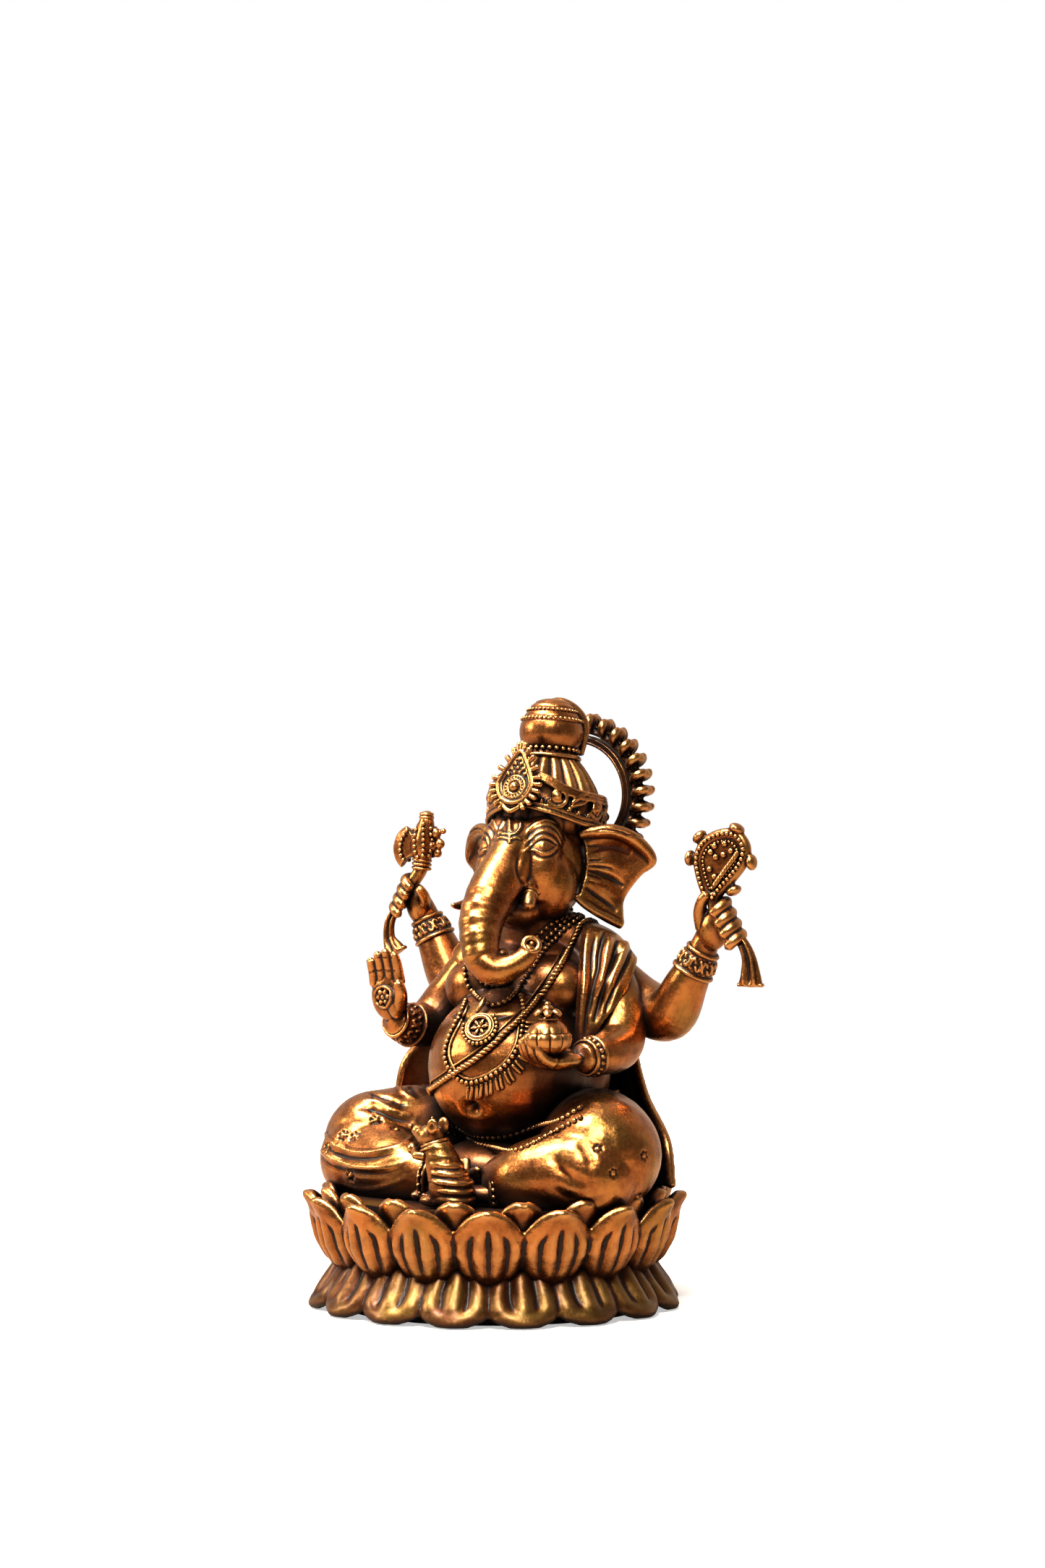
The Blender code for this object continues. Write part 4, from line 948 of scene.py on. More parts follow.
CROWN = np.array(Matrix.Translation(CROWN_BASE) @ Matrix.Rotation(math.radians(-CROWN_LEAN), 4, "X"))
BAND_LOW = [(0, 1.6), (12, 1.3), (36, 0.4), (64, -0.8), (110, -1.5), (180, -1.7)]
BAND_HIGH = [(0, 7.6), (18, 7.2), (30, 6.4), (45, 5.1), (60, 4.4), (90, 4.2), (180, 4.2)]


def around_crown(degrees, radius, height):
    """A point round the crown, in its own place; 0 degrees is its front."""
    a = math.radians(degrees)
    return np.array([radius * math.sin(a), -radius * math.cos(a), height])


def ring_route(height, radius, count=72):
    """A closed line round the crown, its height a table over the degrees from the front."""
    turns = np.linspace(-180, 180, count, endpoint=False)
    return [around_crown(t, radius, follow(height, abs(t))) for t in turns]


def closed_tube(points, radius, sides=8):
    """A round cord along a closed line."""
    points = np.array(points)
    ways = np.roll(points, -1, 0) - np.roll(points, 1, 0)
    ways /= np.linalg.norm(ways, axis=1, keepdims=True)
    centre = points.mean(0)
    angles = np.linspace(0, 2 * math.pi, sides, endpoint=False)
    rings = []
    for point, way in zip(points, ways):
        out = unit(point - centre - way * np.dot(point - centre, way))
        other = np.cross(way, out)
        rings.append(point + radius * (np.outer(np.cos(angles), out) + np.outer(np.sin(angles), other)))
    faces = []
    count = len(points)
    for i in range(count):
        n = (i + 1) % count
        for k in range(sides):
            j = (k + 1) % sides
            faces.append((i * sides + k, i * sides + j, n * sides + j, n * sides + k))
    return np.concatenate(rings), faces


def make_dome():
    """The crown's fluted dome and the cord round its top."""
    def flutes(angle, height):
        depth = np.interp(height, [-1, 2, 9.2, 10.6], [0, 0.9, 0.8, 0])
        return 1.7 * depth * (abs(math.sin(9 * angle)) ** 0.6 - 0.85)

    profile = [(0, -2.5), (8.2, -2.5), (8.9, 0), (9.0, 2.0), (8.8, 3.6), (8.4, 4.8), (7.9, 6.0),
               (7.2, 7.2), (6.4, 8.4), (5.7, 9.4), (5.1, 10.2), (4.7, 10.7), (4.6, 11.6), (0, 11.6)]
    dome = lathe(profile, 360, CROWN, flutes)
    collar = turned(closed_tube(ring_route([(0, 10.7), (180, 10.7)], 4.9), 0.42, 10), CROWN)
    finish_piece("crown_dome", merged(dome, collar))


def make_knob():
    """The knob on the dome: an egg with three rings of dots, and a cord that lies over it to the back."""
    egg = [(0, 11.8), (4.1, 11.8), (4.5, 12.3), (5.1, 13.2), (5.4, 14.3), (5.45, 15.2), (5.3, 16.2),
           (5.1, 16.6), (5.2, 16.8), (5.1, 17.1), (4.8, 17.3), (4.75, 17.6), (4.5, 18.0), (4.3, 18.3),
           (4.35, 18.5), (4.1, 18.8), (3.8, 19.0), (3.75, 19.3), (3.4, 19.6), (3.1, 19.8), (2.9, 20.1),
           (2.2, 20.4), (1.5, 20.6), (1.0, 20.6), (0, 20.7)]
    knob = [lathe(egg, 72, CROWN)]
    for height, radius, size, count in ((11.9, 4.75, 0.42, 26), (17.0, 5.15, 0.3, 40),
                                        (18.55, 4.3, 0.26, 36)):
        places = [around_crown(360 * k / count, radius, height) for k in range(count)]
        knob.append(turned(beads(np.array(places), size), CROWN))
    rib = [(0.4, -0.2, 20.5, 0.5), (1.6, 0.8, 20.2, 0.75), (3.1, 1.9, 19.2, 0.85), (4.3, 2.8, 17.6, 0.8),
           (4.7, 3.2, 15.6, 0.7), (4.5, 3.1, 13.4, 0.6), (4.2, 3.0, 11.6, 0.5)]
    knob.append(turned(tube(rib, 14), CROWN))
    knob.append(turned(tube([(x * 0.93 - 0.5, y + 0.9, z + 0.05, r * 0.7) for x, y, z, r in rib], 12),
                       CROWN))
    knob.append(turned(ball((0.3, -0.1, 20.55), (0.6, 0.6, 0.35)), CROWN))
    finish_piece("crown_knob", merged(*knob), 40)


def make_band():
    """The band round the crown: beaded rims below and above, and scrolls and dots between them."""
    def wall(angle):
        at = abs(math.degrees(angle) - 360) if angle > math.pi else math.degrees(angle)
        low, high = follow(BAND_LOW, at), follow(BAND_HIGH, at)
        return [(9.0, low), (9.6, low), (9.7, low + 0.6), (9.3, 0.5 * (low + high)), (9.2, high - 0.5),
                (9.0, high)]

    band = [hoop(wall, 120)]
    for lift in (0.0, 0.85):
        band.append(closed_tube(ring_route([(a, z + lift) for a, z in BAND_LOW], 9.9), 0.42 - 0.1 * lift,
                                10))
    for step in range(3):
        height = [(a, z - 0.55 * step) for a, z in BAND_HIGH]
        band.append(closed_tube(ring_route(height, 9.75 + 0.12 * step, 96), 0.33, 10))
    for side in (1, -1):
        for start in (40, 86, 132):
            band.extend(scroll(side, start))
    low_dots, high_dots = (24, 52, 62, 74, 80, 98, 108, 126, 144, 152, 168), (66, 72, 112, 158)
    places = [around_crown(t, 9.9, follow(BAND_LOW, t) + 1.6) for t in low_dots]
    places += [around_crown(t, 9.9, 3.2) for t in high_dots]
    band.append(beads(np.array(places + [p * [-1, 1, 1] for p in places]), 0.42))
    cast = Clay(merged(*band), 0.18, 2)
    finish_piece("crown_band", turned(cast.shape(), CROWN))


def scroll(side, start):
    """A spiral tendril with a ball at its heart, and the two leaf curves that run on from it."""
    heart = follow(BAND_LOW, start) + 2.9
    curl = []
    for t in np.linspace(0, 1, 26):
        turn = math.radians(200 + 480 * t)
        reach = 1.75 - 1.2 * t
        curl.append((*around_crown(start + reach * 6.0 * math.cos(turn), 9.9 + 0.15 * t,
                                   heart + reach * math.sin(turn)), 0.36))
    shapes = [tube(curl, 10, 2), ball(around_crown(start - 1, 10.1, heart + 0.1), (0.75, 0.75, 0.75))]
    for out, leaf in ((9.9, [(14, -0.8, 0.3), (20, 0.1, 0.5), (28, 1.0, 0.42), (34, 1.3, 0.25)]),
                      (9.85, [(12, -1.6, 0.25), (19, -1.0, 0.38), (27, -0.6, 0.4), (34, 0.2, 0.22)])):
        shapes.append(tube([(*around_crown(start + a, out, heart + z), r) for a, z, r in leaf], 10))
    return shapes if side == 1 else [mirrored(s) for s in shapes]


def make_plaque():
    """The teardrop on the crown's front: a rim, a bead field, a boss in two rings, and rays all round."""
    tilt = Matrix.Translation((0, -10.9, 5.0)) @ Matrix.Rotation(math.radians(78), 4, "X")
    front = CROWN @ np.array(tilt)

    def drop(turn, grow):
        width = 3.3 * math.sin(turn) * (1 - 0.5 * max(0.0, math.cos(turn)) ** 1.4)
        height = 3.5 * math.cos(turn) if math.cos(turn) < 0 else 5.6 * math.cos(turn) ** 1.25
        return np.array([width, height, 0.0]) * grow

    turns = np.linspace(0, 2 * math.pi, 64, endpoint=False)
    levels = ((0, -1.6), (0.98, -1.6), (1.0, 0.0), (0, 0.1))
    plate = np.array([drop(t, grow) + [0, 0, z] for grow, z in levels for t in turns])
    faces = []
    for ring in range(3):
        for k in range(64):
            j = (k + 1) % 64
            faces.append((ring * 64 + k, ring * 64 + j, (ring + 1) * 64 + j, (ring + 1) * 64 + k))
    parts = [weld_fan(plate, faces)]
    parts.append(closed_tube([drop(t, 1.0) + [0, 0, 0.15] for t in turns], 0.38, 10))
    parts.append(closed_tube([drop(t, 0.82) + [0, 0, 0.15] for t in turns], 0.16, 8))
    boss = np.array([0, -0.7, 0.1])
    parts.append(ball(boss + [0, 0, 0.3], (0.85, 0.85, 0.7)))
    for radius, size in ((1.25, 0.22), (1.95, 0.2)):
        parts.append(ring_at(boss + [0, 0, 0.1], (0, 0, 1), radius, size))
    field = [(x, y, 0.15) for x, y in ((0, 4.2), (-0.5, 3.4), (0.5, 3.4), (0, 2.7), (-1.0, 2.5),
                                       (1.0, 2.5), (-0.5, 1.9), (0.5, 1.9), (-1.5, 1.6), (1.5, 1.6))]
    parts.append(beads(boss + circle(1.62, 18, 0.15), 0.2))
    parts.append(beads(np.array(field, float), 0.36))
    for lift in (2.45, 2.85):
        reach = 0.86 * lift
        arc = [(*(boss + [reach * math.sin(t), -reach * math.cos(t), 0.1]), 0.16)
               for t in np.linspace(-0.9, 0.9, 9)]
        parts.append(tube(arc, 8, 2))
    for k in range(-10, 11):
        turn = math.radians(15.5 * k)
        foot, tip = drop(turn, 1.08), drop(turn, 1.08) + 1.05 * unit(drop(turn, 1.0) * [1.3, 0.75, 1])
        parts.append(tube([(*foot, 0.4), (*(0.5 * (foot + tip)), 0.46), (*tip, 0.42)], 10, 2))
        parts.append(ball(tip, (0.48, 0.48, 0.48)))
    for side in (1, -1):
        parts.append(tube([(side * 2.6, -2.9, 0, 0.3), (side * 1.2, -4.3, 0.1, 0.4), (0, -5.0, 0.2, 0.42)],
                          10))
    cast = Clay(merged(*parts), 0.12, 2)
    finish_piece("crown_plaque", turned(cast.shape(), front))


def weld_fan(points, faces):
    """Drops the doubled points where a ring has shrunk to one."""
    rounded = np.round(points, 5)
    _, first, index = np.unique(rounded, axis=0, return_index=True, return_inverse=True)
    index = index.reshape(-1)
    out = []
    for face in faces:
        corners = tuple(dict.fromkeys(int(index[i]) for i in face))
        if len(corners) > 2:
            out.append(corners)
    return points[first], out


def make_halo():
    """The ring behind the crown: a thin double rim, and a wreath of plump curled leaves outside it."""
    upright = np.array(Matrix.Translation(HALO) @ Matrix.Rotation(math.radians(90), 4, "X"))
    flat = [(8.9, -0.8), (9.5, -0.9), (10.2, -0.8), (10.2, 0.8), (9.5, 0.9), (8.9, 0.8)]
    rim = [hoop(lambda angle: flat, 96)]
    for radius in (9.0, 9.85):
        for level in (-0.75, 0.75):
            rim.append(ring_at((0, 0, level), (0, 0, 1), radius, 0.26, 96))
    finish_piece("halo_rim", turned(merged(*rim), upright), 40)

    lobes = [hoop(lambda angle: [(10.6, -1.0), (12.2, -1.1), (12.2, 1.1), (10.6, 1.0)], 96)]
    pitch = 2 * math.pi / HALO_LOBES
    for k in range(HALO_LOBES):
        a = k * pitch
        out = np.array([math.sin(a), math.cos(a), 0])
        along = np.array([math.cos(a), -math.sin(a), 0])
        lobes.append(turned(ball((0, 0, 0), (1.8, 1.12, 1.8)), placed(out, along, (0, 0, 1), out * 12.3)))
        for level in (-1, 1):
            curl = [(*(out * r + along * t + np.array([0, 0, z * level])), w) for r, t, z, w in
                    ((10.9, 0.7, 0.9, 0.5), (11.8, 0.35, 1.7, 0.72), (12.9, 0.0, 1.7, 0.75),
                     (13.7, -0.3, 0.8, 0.6))]
            lobes.append(tube(curl, 12, 4))
    wreath = Clay(merged(*lobes), 0.22, 2)
    for k in range(HALO_LOBES):
        a = k * pitch
        out = np.array([math.sin(a), math.cos(a), 0])
        along = np.array([math.cos(a), -math.sin(a), 0])
        for level in (-1, 1):
            wreath.swell(out * 11.6 - along * 0.55 + np.array([0, 0, 1.4 * level]), 0.5, -0.9)
        half = a + pitch / 2
        between = np.array([math.sin(half), math.cos(half), 0])
        for z in (-1.3, 0, 1.3):
            wreath.ridge([between * 11.6 + np.array([0, 0, z]), between * 13.6 + np.array([0, 0, z])], 0.4,
                         -0.6)
    wreath.refresh()
    finish_piece("halo_leaves", turned(wreath.shape(), upright))
    stem = tube([(0, 20.5, 66.5, 2.4), (0, 25, 68.2, 2.0), (0, 28.2, 71.2, 1.7)], 24)
    finish_piece("halo_stem", merged(stem, ring_at((0, 25.4, 68.4), (0, 0.75, 0.65), 1.9, 0.4)), 60)


# ---------------------------------------------------------------- arms, hands and what they hold


def seen_at(across, up, depth):
    """The point at this place in the three-quarter view that lies on the plane y = depth."""
    return np.array([(across - depth * RIGHTWARD[1]) / RIGHTWARD[0], depth, up])


def grip(low, high, outward, reach, radius):
    """Four fingers round a rod from low to high, their knuckles on the outward side."""
    fingers = []
    way = unit(np.array(high) - np.array(low))
    outward = unit(np.array(outward) - way * np.dot(outward, way))
    front = unit(GRIP_FRONT - way * np.dot(GRIP_FRONT, way))
    for k in range(4):
        centre = np.array(low) + (np.array(high) - np.array(low)) * k / 3
        stations = []
        for t in np.linspace(0, 1, 6):
            a = math.radians(-60 + 160 * t)
            arm = reach * (1 - 0.12 * t)
            point = centre + arm * (outward * math.cos(a) + front * math.sin(a)) - way * 1.5 * t
            stations.append((*point, radius * (1.05 - 0.12 * t)))
        fingers.append(tube(stations, 16, 4, blunt=0.8))
    return fingers


def open_hand(wrist, along, palm, curls):
    """A palm, four fingers that bend by these degrees at their joints, and a thumb."""
    length = HAND_LENGTH
    wrist, along = np.array(wrist, float), unit(along)
    palm = unit(np.array(palm) - along * np.dot(along, palm))
    side = np.cross(along, palm)
    width = 0.24 * length
    parts = [turned(ball((0, 0, 0), (width * 1.08, 0.32 * length, 0.125 * length)),
                    placed(side, along, palm, wrist + along * 0.29 * length))]
    parts.append(turned(ball((0, 0, 0), (1.5, 2.6, 1.2)),
                        placed(side, along, palm, wrist + along * 2.6 + side * 1.5 + palm * 0.8)))
    for k, share in enumerate((0.41, 0.46, 0.43, 0.35)):
        offset = 0.78 * width * (1 - 2 * k / 3)
        at = wrist + along * 0.47 * length + side * offset
        stations = [(*at, 0.078 * length)]
        bend = 0.0
        for curl, part, thick in zip(curls, (0.42, 0.32, 0.26), (0.07, 0.066, 0.054)):
            bend += math.radians(curl)
            at = at + (along * math.cos(bend) + palm * math.sin(bend)) * part * share * length
            stations.append((*at, thick * length))
        parts.append(tube(stations, 16, 4, blunt=0.8))
    root = wrist + along * 0.16 * length + side * 0.72 * width + palm * 0.05 * length
    mid = root + along * 0.17 * length + side * 0.34 * width + palm * 0.08 * length
    tip = mid + along * 0.17 * length + palm * (0.02 + 0.0016 * sum(curls) / 3) * length
    parts.append(tube([(*root, 0.10 * length), (*mid, 0.088 * length), (*tip, 0.07 * length)], 16, 5,
                      blunt=0.8))
    return parts


ARMS = {
    "left_front": [(12.4, 14.5, 54.0, 4.6), (16.8, 12.2, 49.0, 4.1), (18.8, 8.6, 43.2, 4.0),
                   (19.2, 2.4, 41.6, 3.4), (18.0, -2.8, 41.2, 2.4)],
    "right_front": [(-12.4, 14.5, 54.0, 4.5), (-16.6, 13.0, 49.0, 4.1), (-18.6, 10.0, 45.2, 4.0),
                    (-19.4, 5.0, 45.0, 3.3), (-20.2, 1.2, 46.0, 2.4)],
    "left_rear": [(12.0, 18.5, 52.8, 4.4), (18.0, 17.6, 49.0, 4.5), (24.4, 15.2, 47.6, 4.4),
                  (28.4, 14.0, 53.0, 3.5), (31.4, 14.0, 58.4, 2.4)],
    "right_rear": [(-12.0, 18.5, 52.8, 4.2), (-17.0, 19.5, 50.5, 4.2), (-20.6, 20.6, 52.4, 4.2),
                   (-23.6, 20.8, 58.0, 3.4), (-25.6, 20.4, 62.4, 2.4)],
}


def arm(stations):
    """A tube from shoulder to wrist, rounded out at the elbow, which is the third station."""
    return [tube(stations, 28, 8), ball(stations[2][:3], (stations[2][3],) * 3)]


def make_left_front_arm():
    """The arm whose hand lies palm up under the bowl."""
    hand = open_hand((17.8, -3.6, 41.2), (-0.5, -0.84, -0.06), (0, 0, 1), (28, 30, 26))
    left_front = Clay(merged(*arm(ARMS["left_front"]), *hand), 0.22, 4)
    finish_piece("left_front_arm", left_front.shape())


def make_right_front_arm():
    """The arm whose hand is raised flat, its palm to the front with a flower chased in it."""
    wrist, along, palm = np.array((-20.4, 0.8, 46.2)), unit((-0.08, -0.10, 1)), (0.05, -1, -0.1)
    hand = open_hand(wrist, along, palm, (4, 6, 10))
    right_front = Clay(merged(*arm(ARMS["right_front"]), *hand), 0.18, 3)
    skin = right_front.surface()
    palm = unit(np.array(palm) - along * np.dot(along, palm))
    side = np.cross(along, palm)
    centre = wrist + along * 3.9 - side * 0.3 + palm * 1.5

    def on_palm(x, y):
        at, _, _, _ = skin.find_nearest(Vector(centre + side * x + along * y))
        return np.array(at)

    ring = [on_palm(1.75 * math.cos(t), 1.75 * math.sin(t)) for t in np.linspace(0, 2 * math.pi, 25)]
    right_front.ridge(ring, 0.22, 0.45)
    for k in range(6):
        t = math.radians(60 * k)
        right_front.swell(on_palm(0.95 * math.cos(t), 0.95 * math.sin(t)), 0.36, 0.5)
        right_front.swell(on_palm(1.3 * math.cos(t + 0.52), 1.3 * math.sin(t + 0.52)), 0.24, -0.45)
    right_front.swell(on_palm(0, 0), 0.34, 0.4)
    for height, bow in ((5.6, 0.3), (8.2, 0.15), (10.4, 0.1)):
        crease = [on_palm(x, height - 3.9 + bow * math.cos(x)) for x in (-2.6, -1.3, 0, 1.3, 2.4)]
        right_front.ridge(crease, 0.16, -0.1)
    right_front.refresh()
    finish_piece("right_front_arm", right_front.shape())


def make_rear_arms():
    """The arms whose hands close on the noose and the axe."""
    low, high = seen_at(38.2, 60.6, 12.2), seen_at(35.8, 65.8, 12.0)
    fingers = grip(low, high, (0.85, 0.1, 0.5), 2.05, 0.95)
    palm = [ball((33.8, 13.4, 62.0), (2.7, 2.3, 3.9), (0, 18, 0)),
            ball((32.4, 12.9, 62.0), (1.3, 1.3, 2.4), (0, 10, 0)),
            tube([(30.8, 14.0, 57.4, 2.5), (32.0, 14.0, 60.0, 2.2), (33.0, 14.0, 62.6, 1.9)], 20),
            tube([(31.8, 12.9, 62.0, 1.25), (31.7, 12.1, 64.6, 1.1), (32.6, 11.4, 66.6, 0.95),
                  (33.6, 11.2, 67.6, 0.8)], 16)]
    left_rear = Clay(merged(*arm(ARMS["left_rear"]), *fingers, *palm), 0.22, 3)
    finish_piece("left_rear_arm", left_rear.shape())

    low, high = (-28.2, 17.5, 64.4), (-26.2, 18.0, 69.0)
    fingers = grip(low, high, (-0.85, 0, 0.45), 1.95, 0.88)
    palm = [ball((-26.5, 19.2, 64.8), (2.2, 2.1, 3.6), (0, -10, 0)),
            tube([(-25.2, 20.4, 61.4, 2.5), (-26.0, 20.2, 63.6, 2.2), (-26.6, 19.8, 65.6, 1.8)], 20),
            tube([(-25.6, 19.4, 64.2, 1.2), (-24.3, 17.6, 66.0, 1.0), (-24.6, 16.2, 67.6, 0.85)], 16)]
    right_rear = Clay(merged(*arm(ARMS["right_rear"]), *fingers, *palm), 0.22, 3)
    finish_piece("right_rear_arm", right_rear.shape())


def make_bracelets():
    """Cuffs: two rims with scrolls or dots between them."""
    for name, share, width in (("left_front", 0.66, 0.9), ("right_front", 0.42, 1.9),
                               ("left_rear", 0.66, 1.9), ("right_rear", 0.6, 1.7)):
        stations = route(ARMS[name], 8)[-9:]
        lower, wrist = stations[0], stations[-1]
        at = lower + (wrist - lower) * share
        way = unit((wrist - lower)[:3])
        side = unit(np.cross(way, (0.2, 0.4, 0.9)))
        here = placed(side, np.cross(way, side), way, at[:3])
        narrowing = (wrist[3] - lower[3]) / np.linalg.norm((wrist - lower)[:3])

        def snug(level):
            return at[3] + narrowing * level

        corners = ((-0.5, -width), (0.25, -width), (0.25, width), (-0.5, width))
        loop = [(snug(z) + r, z) for r, z in corners]
        parts = [hoop(lambda angle: loop, 48)]
        for level in (-width, width):
            parts.append(ring_at((0, 0, level), (0, 0, 1), snug(level) + 0.2, 0.34, 48))
        count = 18
        for k in range(count):
            a = 2 * math.pi * k / count
            out = np.array([math.sin(a), -math.cos(a), 0])
            along = np.array([math.cos(a), math.sin(a), 0])
            if width > 1.5:
                start = 0.3 + math.pi * (k % 2)
                curl = []
                for t in np.linspace(start, start + 4.3, 7):
                    across, up = 0.42 * math.cos(t), 0.85 * math.sin(t)
                    at_rim = out * (snug(0.9 * math.sin(t)) + 0.35)
                    curl.append((*(at_rim + along * across + UP * up), 0.24))
                parts.append(tube(curl, 8, 2))
            else:
                parts.append(ball(out * (snug(0) + 0.25), (0.4, 0.4, 0.4)))
        cast = Clay(turned(merged(*parts), here), 0.14, 1)
        finish_piece(name + "_bracelet", cast.shape())


def make_axe():
    """A crescent blade and a back spike on a beaded head, its top knob ribbed, on a short staff."""
    depth = 18.8
    staff = [(*seen_at(-17.4, 63.6, 17.4), 1.05), (*seen_at(-14.4, 68.4, 18.0), 1.15),
             (*seen_at(-12.9, 71.0, 18.6), 1.25), (*seen_at(-12.4, 75.0, depth), 1.9),
             (*seen_at(-12.0, 78.0, depth), 1.5), (*seen_at(-11.9, 79.6, depth), 1.2)]
    parts = [tube(staff, 20, 5), ball(seen_at(-12.7, 74.8, depth), (2.2, 1.5, 3.2)),
             ball(seen_at(-12.2, 77.8, depth), (1.7, 1.4, 1.6))]
    outer = route([(-15.4, 78.3), (-16.9, 77.0), (-17.7, 74.6), (-17.3, 72.4), (-16.3, 71.0)], 5)
    inner = route([(-14.2, 77.0), (-14.0, 76.0), (-13.9, 74.6), (-14.1, 73.2), (-15.3, 72.6)], 5)
    grid = []
    for (a, b), (c, d) in zip(outer, inner):
        grid.append([seen_at(a + (c - a) * t, b + (d - b) * t, depth) for t in np.linspace(0, 1, 7)])
    thick = np.tile(np.interp(np.linspace(0, 1, 7), [0, 0.35, 1], [0.5, 1.5, 1.9]), (len(grid), 1))
    parts.append(slab(np.array(grid), thick))
    for across, up, size in ((-10.3, 77.0, 1.0), (-9.6, 75.2, 0.9), (-10.0, 73.6, 0.8), (-10.9, 74.8, 1.1),
                             (-9.0, 77.4, 0.55)):
        parts.append(ball(seen_at(across, up, depth), (size, 0.9 * size, size)))
    head = Clay(merged(*parts), 0.2, 3)
    skin = head.surface()
    details = []
    top = seen_at(-11.9, 79.2, depth)
    for level, radius in ((0, 1.2), (0.55, 1.35), (1.1, 1.25)):
        details.append(ring_at(top + UP * level, (0.05, 0, 1), radius * 0.75, 0.32, 24))
    details.append(ball(top + UP * 1.1, (1.0, 1.0, 0.6)))
    for low in (71.0, 71.7, 72.4):
        details.append(ring_at(seen_at(-12.8 + 0.06 * (low - 71), low, 18.7), (0.12, 0, 1), 1.45, 0.28, 24))
    lines = [[(-13.6, 77.6), (-13.9, 75.8), (-13.8, 74.0), (-13.4, 72.9)],
             [(-12.4, 78.6), (-12.4, 76.4), (-12.4, 74.6), (-12.5, 73.2)],
             [(-11.2, 77.8), (-11.0, 76.0), (-11.1, 74.4), (-11.6, 73.2)],
             [(-15.3, 77.4), (-16.3, 75.6), (-16.4, 73.6), (-15.9, 72.4)]]
    for line in lines:
        points, normals = drawn(skin, line)
        places, _ = evenly(points, 0.95)
        places, normals = resting(skin, places, 0.1)
        details.append(beads(places, 0.42, normals))
        behind = places * [1, -1, 1] + [0, 2 * depth, 0]
        details.append(beads(behind, 0.42))
    finish_piece("axe", merged(head.shape(), *details))
    ribbon("axe_tail", [(*seen_at(-17.2, 64.0, 17.0), 0.8), (*seen_at(-18.3, 61.6, 16.8), 0.95),
                               (*seen_at(-18.4, 59.0, 16.8), 1.2),
                               (*seen_at(-17.6, 57.0, 16.8), 2.0), (*seen_at(-17.2, 56.2, 16.8), 2.3)])


def ribbon(node, stations):
    """A short flared end of cloth with folds down it."""
    tail = Clay(tube(stations, 20, 6, flat=0.5, facing=(0, 1, 0), blunt=0.2), 0.2, 2)
    skin = tail.surface()
    for offset, height in ((-0.5, 0.35), (0, -0.4), (0.5, 0.35)):
        for depth in (-1, 1):
            line = [np.array([x + offset * r, y + depth * 0.5 * r, z]) for x, y, z, r in route(stations, 4)]
            line, _ = resting(skin, line, 0)
            tail.ridge(line, 0.25, height, 0.1)
    tail.refresh()
    end = np.array(stations[-1][:3])
    before = np.array(stations[-2][:3])
    hem = unit(end - before)
    side = unit(np.cross(hem, (0, 1, 0)))
    width = stations[-1][3]
    edge = [(*(end - hem * 0.2 + side * width * t), 0.34) for t in np.linspace(-0.95, 0.95, 5)]
    finish_piece(node, merged(tail.shape(), tube(edge, 12, 3, flat=2.0, facing=(0, 1, 0))))


